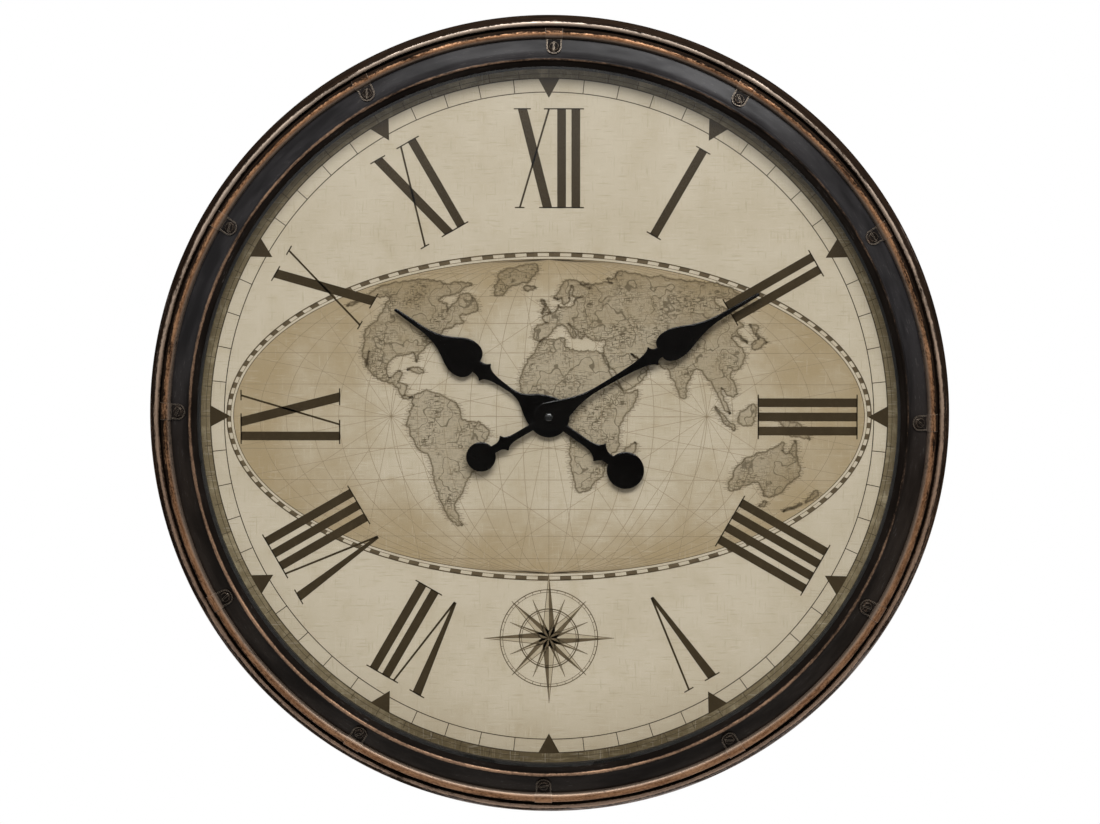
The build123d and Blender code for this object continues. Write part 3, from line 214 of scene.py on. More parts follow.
def rim_material(name, rubbed, channel_polish, edge_wear_and_glint=0.0, edge_width=0.0007, channel_sky_sheen=1.0):
    """Dark lacquer over copper, rubbed through in fine specks where it stands proud, with painted highlights,
    shade and sheen worked into its wear and tones.

    The wear comes from the mesh where rubbed is None. Otherwise rubbed holds the two radii between which
    it rises, and its share on a strap's crest.
    """
    s = Shader(name)
    polar = s.polar()
    radius, right, up, place = polar
    streaks = s.ring_noise(polar, 14.0, 520.0, 4.0)
    scuffs = s.ring_noise(polar, 44.0, 900.0, 4.0, 0.7)
    specks = s.ring_noise(polar, 150.0, 800.0, 3.0, 0.65)
    blotches = s.ring_noise(polar, 5.0, 60.0, 3.0)
    sweep = s.ring_noise(polar, 1.1, 9.0, 2.0)
    grit = s.noise(1500.0, 3.0, 0.7)
    if rubbed is None:
        marked = s.node("Attribute")
        marked.attribute_name = "wear"
        wear = marked.outputs["Fac"]
    else:
        start, end, share = rubbed
        wear = s.times(s.span(radius, start, end), s.span(place[1], *FOOT_TO_CREST, 0.15, share))
    # The wide bead is rubbed on the side towards the dial. Outside it lacquer stays where the rim faces up
    # and metal shows where it faces down, a painted shade and highlight. The inner bead is made brightest at
    # its lower left and darkest at its upper right, a painted highlight and shade
    normal = s.node("SeparateXYZ", Vector=s.node("NewGeometry").outputs["Normal"]).outputs
    outward = s.plus(s.times(normal[0], right), s.times(normal[2], up))
    flank = s.times(s.span(radius, *FLANK_TO_CREST[::-1]), s.span(radius, *CHANNEL_TO_FLANK))
    inner = s.span(radius, *CHANNEL_TO_INNER_BEAD)
    painted_corner_highlight = s.times(s.plus(right, up), s.times(inner, PAINTED_CORNER_SHARE))
    flank_wear_and_painted_light = s.plus(s.times(outward, s.times(flank, FACING_WEAR_AND_LIGHT_SHARE)), painted_corner_highlight)
    flank_wear_and_painted_light = s.plus(flank_wear_and_painted_light, s.times(normal[2], s.span(radius, *FLANK_TO_CREST, 0.0, FACING_WEAR_AND_LIGHT_SHARE)))
    wear = s.minus(wear, s.times(flank_wear_and_painted_light, s.span(wear, 0.05, 0.3)))
    # Several patterns break up the edge of the wear, less so on the thin inner bead
    uneven = 0.0
    for share, pattern in ((1.1, streaks), (1.1, scuffs), (1.1, specks), (1.6, blotches), (1.3, sweep)):
        uneven = s.plus(uneven, s.times(s.minus(pattern, 0.5), share))
    uneven = s.times(uneven, s.span(inner, 0.0, 1.0, 1.0, 0.4))
    # The wear is raised at the top and the bottom of the rim and lowered at its sides
    upright = s.span(s.math("ABSOLUTE", up), 0.2, 0.9, 0.78, 1.02)
    worn = s.span(s.plus(s.times(wear, upright), uneven), 0.3, 0.95)
    scratch = s.times(s.span(scuffs, 0.57, 0.68), s.span(blotches, 0.44, 0.62, 0.0, 0.6))
    tone = s.mix(s.span(s.plus(specks, streaks), 0.8, 1.25), COPPER, BRIGHT)
    # The outer bead is rubbed to pale metal, palest at the top as a painted highlight, and the inner bead a
    # little
    outer = s.times(s.span(radius, *GROOVE_TO_OUTER_BEAD), s.span(radius, *WALL_TO_OUTER_BEAD))
    tone = s.mix(s.times(outer, s.span(up, -0.4, 0.8, 0.25, 0.85)), tone, PALE_METAL_AND_HIGHLIGHT)
    tone = s.mix(s.times(inner, 0.2), tone, PALE_METAL_AND_HIGHLIGHT)
    # The inner side of the wide bead is greyer than its crest, a painted silvery sheen
    silver_sheen_share = s.times(s.span(radius, *WIDE_BEAD_TO_FLANK, 0.0, 0.85), s.span(radius, *CHANNEL_TO_FLANK))
    tone = s.mix(silver_sheen_share, tone, SILVER_SHEEN)
    # Edges turn pale as worn metal, and the same pale paints the highlights along them
    if edge_wear_and_glint:
        rounded = s.node("Bevel", Radius=edge_width).outputs[0]
        facing = s.node("VectorMath", i0=rounded, i1=s.node("NewGeometry").outputs["Normal"])
        facing.operation = "DOT_PRODUCT"
        worn_glinting_edges = s.span(facing.outputs["Value"], 0.99, 0.86)
        tone = s.mix(worn_glinting_edges, tone, EDGE_WEAR_AND_GLINT)
        worn = s.most(worn, s.times(worn_glinting_edges, edge_wear_and_glint))
    dark = s.mix(s.span(blotches, 0.3, 0.75), LACQUER, shaded(LACQUER, 2.0))
    # The channel is blue black above, a painted reflection of the sky, and umber below
    channel = s.times(s.span(radius, *WIDE_BEAD_TO_CHANNEL), s.span(radius, *LIP_TO_CHANNEL))
    below_the_sheen = s.span(up, 0.3, -0.3)
    deep, light = (s.mix(below_the_sheen, shaded(SKY_SHEEN_BLUE, share), shaded(UMBER, share)) for share in (0.6, 1.2))
    sky_sheen_tone = s.mix(s.span(blotches, 0.35, 0.65), deep, light)
    dark = s.mix(s.times(channel, channel_sky_sheen), dark, sky_sheen_tone)
    # Outside the wide bead the lacquer is browner in streaks, which in the deep groove between the beads is
    # painted light that lifts its shade
    dark = s.mix(s.times(s.span(radius, *CREST_TO_GROOVE), s.span(streaks, 0.3, 0.6)), dark, BROWN_AND_GROOVE_LIGHT)
    dark = s.mix(scratch, dark, SCUFFED)
    color = s.mix(worn, dark, tone)
    rough = s.plus(s.span(grit, 0.3, 0.7, 0.36, 0.5), s.times(worn, -0.04))
    relief = s.plus(s.times(worn, -0.5), s.times(scuffs, 0.5))
    # The outer bead is polished most, the sloping channel keeps a thin polish and the outer wall is dull
    polish = s.span(radius, *CHANNEL_TO_WIDE_BEAD, 0.06, 0.15)
    polish = s.plus(polish, s.span(radius, *GROOVE_TO_POLISH, 0.0, 0.85))
    gloss = s.span(blotches, 0.3, 0.7, 0.7 * channel_polish, 1.3 * channel_polish)
    polish = s.most(s.times(worn, polish), s.times(channel, gloss))
    return s.set(color=color, metal=s.times(worn, 0.6), rough=rough, specular=0.0,
                 coat=polish, coat_rough=0.24, normal=s.bump(relief, 0.35, 0.0004))


def plain_material(name, color, second, rough, metal=0.0, scale=300.0, stretch=None, grain=0.2, specular=0.5):
    """Even finish with slight mottling, an uneven gloss and a fine grain."""
    s = Shader(name)
    cloud = s.noise(scale, 4.0, 0.6, stretch=stretch)
    fine = s.noise(scale * 9.0, 2.0, 0.6, stretch=stretch)
    color = s.mix(s.span(cloud, 0.3, 0.7), color, second)
    gloss = s.span(cloud, 0.25, 0.75, rough - 0.06, rough + 0.08)
    return s.set(color=color, metal=metal, rough=gloss, specular=specular, normal=s.bump(fine, grain, 0.0002))


CREAM = (0.555, 0.48, 0.372)
AGED = (0.50, 0.425, 0.315)
STAINED = (0.44, 0.355, 0.235)
MAP_TINT = (0.345, 0.258, 0.145)
LOWER_EDGE_TONE = (0.335, 0.262, 0.165)
BAND_DARK = (0.168, 0.13, 0.074)
BAND_PALE = (0.30, 0.245, 0.155)
BAND_PAINTED_SHADE = (0.066, 0.044, 0.018)
DARK_FIBRE = (0.33, 0.262, 0.165)
PALE_FIBRE = (0.7, 0.63, 0.52)
ENGRAVING = (0.105, 0.078, 0.045)


def paper_material(name, wash=1.0, warm=(1.0, 1.0, 1.0), engraved=0.0):
    """Aged printed paper: cream, darker at the map's edge and on the outer band, with faint fibres."""
    s = Shader(name)
    radius, _, height, parts = s.polar()
    cloud = s.noise(14.0, 5.0, 0.62)
    stain = s.noise(55.0, 4.0, 0.6)
    color = s.mix(s.span(cloud, 0.3, 0.72), CREAM, AGED)
    color = s.mix(s.span(stain, 0.52, 0.78, 0.0, 0.35), color, STAINED)
    # The printed tint inside the oval of the map deepens towards its border
    across = s.math("DIVIDE", parts[0], MAP_HALF_WIDTH * MM)
    along = s.math("DIVIDE", parts[2], MAP_HALF_HEIGHT * MM)
    oval = s.length(across, along)
    inside = s.math("LESS_THAN", oval, 1.0)
    ragged = s.plus(oval, s.times(s.minus(cloud, 0.5), 0.75))
    depth = s.times(inside, s.span(ragged, 0.45, 1.08, 0.12, 0.95))
    color = s.mix(depth, color, MAP_TINT)
    # The paper is darker and yellower towards its lower edge
    low = s.times(s.span(parts[2], -0.2, -0.31), s.span(radius, 0.25, 0.32))
    color = s.mix(s.times(low, 0.35), color, LOWER_EDGE_TONE)
    band = s.mix(s.span(stain, 0.5, 0.72), BAND_DARK, BAND_PALE)
    # The band is darker at its bottom, a painted shade
    band = s.mix(s.span(height, -0.80, -0.97, 0.0, 0.6), band, BAND_PAINTED_SHADE)
    color = s.mix(s.math("GREATER_THAN", radius, TRACK_OUTER * MM), color, band)
    # Laid fibres, some darker and some paler than the sheet
    level_fibres = s.noise(48.0, 2.0, 0.6, stretch=(1.0, 1.0, 15.0))
    steep_fibres = s.noise(48.0, 2.0, 0.6, stretch=(15.0, 1.0, 1.0))
    crease = s.most(s.span(level_fibres, 0.6, 0.68), s.span(steep_fibres, 0.62, 0.7))
    color = s.mix(s.times(crease, 0.34), color, DARK_FIBRE)
    pale = s.most(s.span(level_fibres, 0.4, 0.32), s.span(steep_fibres, 0.38, 0.3))
    color = s.mix(s.times(pale, 0.16), color, PALE_FIBRE)
    if engraved:
        level_strokes = s.noise(330.0, 2.0, 0.6, stretch=(0.5, 1.0, 3.0))
        steep_strokes = s.noise(330.0, 2.0, 0.6, stretch=(2.6, 1.0, 0.55))
        hills = s.span(s.noise(34.0, 3.0, 0.6), 0.4, 0.62, 0.2, 1.0)
        strokes = s.most(s.span(level_strokes, 0.5, 0.6), s.span(steep_strokes, 0.54, 0.64))
        # Thin winding lines, as of rivers and borders
        winding = s.math("ABSOLUTE", s.minus(s.noise(42.0, 2.0, 0.5), 0.5))
        lines = s.most(s.times(strokes, hills), s.span(winding, 0.013, 0.005, 0.0, 0.8))
        color = s.mix(s.times(lines, engraved), color, ENGRAVING)
    color = s.mix(1.0, color, shaded(warm, wash), "MULTIPLY")
    grain = s.noise(900.0, 3.0, 0.7)
    return s.set(color=color, rough=s.span(grain, 0.3, 0.7, 0.78, 0.92), specular=0.18,
                 normal=s.bump(grain, 0.12, 0.0002))


def ink_material(name, color, faded):
    """Printing ink, a little worn into the paper."""
    s = Shader(name)
    patch = s.noise(220.0, 5.0, 0.7)
    broad = s.noise(26.0, 3.0, 0.6)
    share = s.plus(s.span(patch, 0.5, 0.8, 0.0, 0.4), s.span(broad, 0.45, 0.8, 0.0, 0.35))
    return s.set(color=s.mix(share, color, faded), rough=0.8, specular=0.18,
                 normal=s.bump(patch, 0.1, 0.0001))


BOARD_DARK = (0.25, 0.155, 0.085)
BOARD_PALE = (0.35, 0.235, 0.14)
BOARD_CLOUD = (0.40, 0.28, 0.17)
BOARD_SPECK = (0.17, 0.10, 0.052)
BOARD_SHRED = (0.50, 0.375, 0.25)


def board_material():
    """Pressed fibreboard: broad stains, pale shreds and dark specks."""
    s = Shader("fibreboard")
    broad = s.noise(7.0, 4.0, 0.6)
    cloud = s.noise(60.0, 4.0, 0.6)
    specks = s.noise(420.0, 4.0, 0.65)
    level_shreds = s.noise(170.0, 2.0, 0.6, stretch=(1.0, 1.0, 5.0))
    steep_shreds = s.noise(170.0, 2.0, 0.6, stretch=(5.0, 1.0, 1.0))
    shreds = s.most(s.span(level_shreds, 0.6, 0.7), s.span(steep_shreds, 0.61, 0.71))
    color = s.mix(s.span(broad, 0.3, 0.7), BOARD_DARK, BOARD_PALE)
    color = s.mix(s.span(cloud, 0.35, 0.7, 0.0, 0.5), color, BOARD_CLOUD)
    color = s.mix(s.span(specks, 0.52, 0.72, 0.0, 0.6), color, BOARD_SPECK)
    color = s.mix(s.times(shreds, 0.45), color, BOARD_SHRED)
    return s.set(color=color, rough=s.span(cloud, 0.3, 0.7, 0.66, 0.86), specular=0.25,
                 normal=s.bump(specks, 0.5, 0.0003))


def glass_material():
    """Clear flat glass with a weak reflection."""
    s = Shader("clock_glass")
    s.tree.nodes.remove(s.bsdf)
    smear = s.noise(30.0, 3.0, 0.6)
    gloss = s.node("BsdfGlossy", Color=(1.0, 1.0, 1.0, 1.0), Roughness=s.span(smear, 0.3, 0.7, 0.015, 0.03))
    clear = s.node("BsdfTransparent", Color=(0.985, 0.99, 0.985, 1.0))
    front = s.minus(1.0, s.node("NewGeometry").outputs["Backfacing"])
    share = s.times(s.node("Fresnel", IOR=1.52).outputs[0], front)
    both = s.node("MixShader", i0=share, i1=clear.outputs[0], i2=gloss.outputs[0])
    s.tree.links.new(both.outputs[0], s.output.inputs["Surface"])
    return s.material


def put(node, material):
    """Gives a CAD node its material."""
    shown = nodes[node]
    if shown.material_slots:
        for slot in shown.material_slots:
            slot.material = material
    else:
        shown.data.materials.append(material)


def new_piece(name, vertices, faces, material):
    """A mesh piece in metres that rides on the case."""
    mesh = bpy.data.meshes.new(name)
    mesh.from_pydata(vertices, [], faces)
    mesh.validate()
    mesh.update()
    mesh.materials.append(material)
    piece = bpy.data.objects.new(name, mesh)
    bpy.context.scene.collection.objects.link(piece)
    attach(piece, "case")
    return piece


def at(x, depth, z):
    """Point in metres from x, depth in front of the wall and z in millimetres."""
    return (x * MM, (WALL_Y - depth) * MM, z * MM)


# Rim: turned rings whose sections follow the solids, with a mark of how much each place is rubbed


def arc(center, radius, start, end, steps, wear=0.0, narrow=1.0):
    """Arc of a section as (radius, depth, wear), with the wear highest on the crest."""
    made = []
    for step in range(steps + 1):
        angle = start + (end - start) * step / steps
        turn = math.radians(angle)
        rubbed = wear * max(0.0, math.sin(turn)) ** narrow
        made.append((center[0] + radius * math.cos(turn), center[1] + radius * math.sin(turn), rubbed))
    return made


def turned(name, section, material, replaced):
    """Closed section turned about the hands' axis."""
    vertices, wear, faces = [], [], []
    count = len(section)
    for step in range(RING_STEPS):
        turn = 2 * math.pi * step / RING_STEPS
        for radius, depth, rubbed in section:
            vertices.append(at(radius * math.sin(turn), depth, radius * math.cos(turn)))
            wear.append(rubbed)
    for step in range(RING_STEPS):
        here, there = step * count, (step + 1) % RING_STEPS * count
        for index in range(count):
            after = (index + 1) % count
            faces.append((here + index, here + after, there + after, there + index))
    piece = new_piece(name, vertices, faces, material)
    layer = piece.data.attributes.new("wear", "FLOAT", "POINT")
    layer.data.foreach_set("value", wear)
    piece.data.polygons.foreach_set("use_smooth", [True] * len(faces))
    piece.data.set_sharp_from_angle(angle=SHARP_ANGLE)
    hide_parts(replaced)


# Middles of the beads as (radius, depth), their radii and the radii of their hollow sides
OUTER_BEAD, OUTER_BEAD_RADIUS, OUTER_BEAD_HOLLOW = (373.8, 17.0), 3.2, 1.7
WIDE_BEAD, WIDE_BEAD_RADIUS = (364.2, 28.04), 4.6
INNER_BEAD, INNER_BEAD_RADIUS, INNER_BEAD_HOLLOW = (341.0, 41.4), 2.4, 1.2

rim_finish = rim_material("rim_bronze", None, 0.18)
case_section = (
    [(380.4, 0.06, -0.2), (381.0, 0.6, 0.62), (380.9, 1.2, 0.4), (379.8, 5.0, 0.16), (378.2, 12.0, 0.16),
     (377.0, 16.6, 0.2)]
    + arc(OUTER_BEAD, OUTER_BEAD_RADIUS, 0, 180, 24, 1.15, 4.0)
    + [(370.6, 14.1, 0.0), (370.5, 14.0, 0.0), (350.3, 14.0, 0.0), (350.0, 13.7, 0.1), (350.0, 12.8, 0.1),
       (350.3, 12.5, 0.0), (372.1, 12.5, 0.0)]
    + arc(OUTER_BEAD, OUTER_BEAD_HOLLOW, 180, 0, 8)
    + [(379.5, 1.5, 0.0), (352.4, 1.5, 0.0), (352.0, 1.1, -0.3), (352.0, 0.4, -0.3), (352.4, 0.06, -0.3)]
)
bezel_section = (
    [(367.6, 28.04, 0.0), (367.6, 15.2, 0.0), (354.3, 15.2, 0.0), (354.0, 14.9, 0.0), (354.0, 14.3, 0.0),
     (354.3, 14.0, 0.0), (368.5, 14.0, 0.0), (368.8, 14.3, 0.0)]
    + arc(WIDE_BEAD, WIDE_BEAD_RADIUS, 0, 150, 22, 1.0, 1.8)
    + [(359.95, 29.8, 0.6), (359.7, 29.0, 0.45)]
    + [(359.2, 29.28, -0.2), (354.0, 32.22, -0.4), (349.0, 35.04, -0.4), (344.2, 37.75, -0.2),
       (343.4, 38.6, 0.1)]
    + arc(INNER_BEAD, INNER_BEAD_RADIUS, 0, 150, 16, 0.66, 2.6)
    + [(334.35, 41.35, -0.3), (334.0, 41.1, -0.1), (334.0, 40.0, -0.4), (339.8, 40.0, -0.4)]
    + arc(INNER_BEAD, INNER_BEAD_HOLLOW, 180, 0, 6)
    + [(342.2, 37.4, 0.0), (359.2, 27.75, 0.0)]
    + [(360.8, 28.04, 0.0), (362.0, 30.3, 0.0), (364.2, 31.44, 0.0), (366.4, 30.6, 0.0)]
)
turned("rim_case", case_section, rim_finish, "case_ring")
turned("rim_bezel", bezel_section, rim_finish, "bezel_ring")

# Strap clips and their screws keep their solids, with softened edges
clip_finish = rim_material("clip_bronze", (0.3575, 0.3605, 0.9), 0.03, edge_wear_and_glint=0.8, channel_sky_sheen=0.4)
screw_finish = rim_material(
    "screw_black", (0.40, 0.44, 0.1), 0.03, edge_wear_and_glint=1.0, edge_width=0.0005, channel_sky_sheen=0.0)
for node, finish, width in (("rim_clips", clip_finish, 0.22), ("rim_clip_screws", screw_finish, 0.18)):
    put(node, finish)
    soften = nodes[node].modifiers.new("worn_glinting_edges", "BEVEL")
    soften.width = width * MM
    soften.segments = 2
    soften.limit_method = "ANGLE"
    soften.angle_limit = SHARP_ANGLE
    soften.harden_normals = True

# Printed dial: each print is a thin closed layer on the paper, and the thicker of two shows where they cross


def winding(outline):
    """Twice the area inside an outline, below zero where it runs clockwise."""
    return sum(a[0] * b[1] - b[0] * a[1] for a, b in zip(outline, outline[1:] + outline[:1]))


class Print:
    """Outlines in millimetres (x, z) that become one layer of print."""

    def __init__(self, name, material, thickness):
        self.name, self.material, self.thickness = name, material, thickness
        self.vertices, self.faces = [], []

    def area(self, outline):
        """Filled outline."""
        if winding(outline) < 0:
            outline = outline[::-1]
        first, count = len(self.vertices), len(outline)
        for depth in (DIAL_DEPTH + self.thickness, DIAL_DEPTH):
            self.vertices += [at(x, depth, z) for x, z in outline]
        front = list(range(first, first + count))
        back = list(range(first + count, first + 2 * count))
        self.faces.append(front)
        self.faces.append(back[::-1])
        for index in range(count):
            after = (index + 1) % count
            self.faces.append((front[after], front[index], back[index], back[after]))

    def line(self, points, width, closed=False):
        """Line of even width along points."""
        count = len(points)
        sides = []
        for index, (x, z) in enumerate(points):
            before = points[index - 1] if index or closed else points[0]
            after = points[(index + 1) % count] if index < count - 1 or closed else points[-1]
            run, rise = after[0] - before[0], after[1] - before[1]
            length = math.hypot(run, rise) or 1.0
            offset = (-rise / length * width / 2, run / length * width / 2)
            sides.append(((x - offset[0], z - offset[1]), (x + offset[0], z + offset[1])))
        first = len(self.vertices)
        for right, left in sides:
            for depth in (DIAL_DEPTH + self.thickness, DIAL_DEPTH):
                self.vertices += [at(right[0], depth, right[1]), at(left[0], depth, left[1])]
        for index in range(count if closed else count - 1):
            here, there = first + 4 * index, first + 4 * ((index + 1) % count)
            self.faces.append((here, there, there + 1, here + 1))
            self.faces.append((here + 3, there + 3, there + 2, here + 2))
            self.faces.append((here + 2, there + 2, there, here))
            self.faces.append((here + 1, there + 1, there + 3, here + 3))
        if not closed:
            last = first + 4 * (count - 1)
            self.faces.append((first, first + 1, first + 3, first + 2))
            self.faces.append((last + 1, last, last + 2, last + 3))

    def circle(self, radius, width, center=(0.0, 0.0), steps=360):
        turns = [2 * math.pi * step / steps for step in range(steps)]
        ring = [(center[0] + radius * math.sin(turn), center[1] + radius * math.cos(turn)) for turn in turns]
        self.line(ring, width, closed=True)

    def make(self):
        new_piece(self.name, self.vertices, self.faces, self.material)


def clock_spot(radius, angle, center=(0.0, 0.0)):
    """Point at a radius and a clock angle."""
    turn = math.radians(angle)
    return (center[0] + radius * math.sin(turn), center[1] + radius * math.cos(turn))


def beside(angle, reach, side):
    """Point at a reach along a clock angle and a distance to the right of it."""
    turn = math.radians(angle)
    return (reach * math.sin(turn) + side * math.cos(turn), reach * math.cos(turn) - side * math.sin(turn))


numeral_ink = ink_material("numeral_ink", (0.036, 0.0235, 0.0095), (0.07, 0.048, 0.024))
track_ink = ink_material("track_ink", (0.05, 0.036, 0.021), (0.13, 0.10, 0.062))
map_ink = ink_material("map_ink", (0.105, 0.075, 0.042), (0.21, 0.16, 0.096))
fine_ink = ink_material("fine_ink", (0.25, 0.19, 0.118), (0.36, 0.285, 0.185))

put("dial_sheet", paper_material("dial_paper"))

# Roman numerals with their feet towards the hands' axis
NUMERAL_FOOT = 198.5
NUMERAL_HEIGHT = 95.0
STEM = 8.3
STEM_PITCH = 13.5
THIN = 1.9
SERIF = 1.2
SERIF_REACH = 3.6
THIN_FOOT_SERIF = 4.6
THIN_TOP_SERIF = 5.0
CROSS_STROKE = STEM + 0.7
CROSS_TOP = 30.0
CROSS_FOOT = 33.0
CROSS_INSET = 1.0
VEE_STROKE = STEM + 0.6
VEE_TOP = 30.0
VEE_FOOT = 16.5
LETTER_WIDTH = {"I": STEM, "X": CROSS_FOOT, "V": VEE_TOP}
LETTER_GAP = {"I": 4.8, "X": 4.6, "V": 4.4}
NUMERALS = {
    1: "I", 2: "II", 3: "III", 4: "IIII", 5: "V", 7: "VII", 8: "VIII", 9: "IX", 10: "X", 11: "XI", 12: "XII",
}


def block(left, right, foot, head):
    """Upright rectangle as an outline (x, height)."""
    return [(left, foot), (right, foot), (right, head), (left, head)]


def serif(middle, half, height):
    """Hairline across the end of a slanted stroke."""
    return block(middle - half, middle + half, height, height + SERIF)


def stem(left):
    """I: an upright stroke with hairline serifs."""
    right = left + STEM
    top = NUMERAL_HEIGHT
    return [
        block(left, right, 0.0, top),
        block(left - SERIF_REACH, right + SERIF_REACH, 0.0, SERIF),
        block(left - SERIF_REACH, right + SERIF_REACH, top - SERIF, top),
    ]


def cross(left):
    """X: a thick stroke falling to the right and a thin one rising to the right."""
    top = NUMERAL_HEIGHT
    wide = CROSS_STROKE
    half = THIN / 2
    reach = wide / 2 + SERIF_REACH
    thin_foot = left + half + CROSS_INSET
    thin_top = left + CROSS_TOP
    return [
        [(left, top), (left + CROSS_FOOT - wide, 0.0), (left + CROSS_FOOT, 0.0), (left + wide, top)],
        [(thin_foot - half, 0.0), (thin_foot + half, 0.0), (thin_top + half, top), (thin_top - half, top)],
        serif(left + wide / 2, reach, top - SERIF),
        serif(left + CROSS_FOOT - wide / 2, reach, 0.0),
        serif(thin_foot, THIN_FOOT_SERIF, 0.0),
        serif(thin_top, THIN_TOP_SERIF, top - SERIF),
    ]


def vee(left):
    """V: a thick stroke falling to the foot and a thin one rising from it."""
    top = NUMERAL_HEIGHT
    wide = VEE_STROKE
    half = THIN / 2
    foot = left + VEE_FOOT
    thin_top = left + VEE_TOP
    return [
        [(left, top), (foot - 1.6, 0.0), (foot + 1.4, 0.0), (left + wide, top)],
        [(foot - 0.6, 0.0), (foot + 1.4, 0.0), (thin_top + half, top), (thin_top - half, top)],
        serif(left + wide / 2, wide / 2 + SERIF_REACH, top - SERIF),
        serif(thin_top, THIN_TOP_SERIF, top - SERIF),
    ]


LETTER_STROKES = {"I": stem, "X": cross, "V": vee}
numerals = Print("dial_numerals", numeral_ink, 0.05)
for hour, letters in NUMERALS.items():
    cursor, end = 0.0, 0.0
    strokes = []
    for letter, following in zip(letters, letters[1:] + " "):
        strokes += LETTER_STROKES[letter](cursor)
        end = cursor + LETTER_WIDTH[letter]
        cursor = cursor + STEM_PITCH if letter == following == "I" else end + LETTER_GAP[letter]
    for stroke in strokes:
        numerals.area([beside(30 * hour, NUMERAL_FOOT + height, x - end / 2) for x, height in stroke])
numerals.make()

# Minute track with hour marks, and the scale on the outer band
TRACK_INNER = 308.8
BAND_LINE = 326.2
BAND_TICKS = (333.0, 329.0)
MARK_TIP = 303.3
MARK_HALF_BASE = 10.4
MARK_OVERLAP = 0.5
track = Print("dial_minute_track", track_ink, 0.04)
track.circle(TRACK_OUTER, 1.1)
track.circle(TRACK_INNER, 0.9)
for minute in range(60):
    track.line([clock_spot(TRACK_INNER, 6 * minute), clock_spot(TRACK_OUTER, 6 * minute)], 0.8)
for step in range(72):
    track.line([clock_spot(TRACK_OUTER, 5 * step), clock_spot(BAND_TICKS[step % 2], 5 * step)], 0.55)
track.circle(BAND_LINE, 0.45)
track.make()
marks = Print("dial_hour_marks", numeral_ink, 0.05)
for hour in range(12):
    half = math.degrees(MARK_HALF_BASE / TRACK_OUTER)
    corners = [clock_spot(TRACK_OUTER + MARK_OVERLAP, 30 * hour + turn) for turn in (-half, half)]
    marks.area([corners[0], clock_spot(MARK_TIP, 30 * hour), corners[1]])
marks.make()

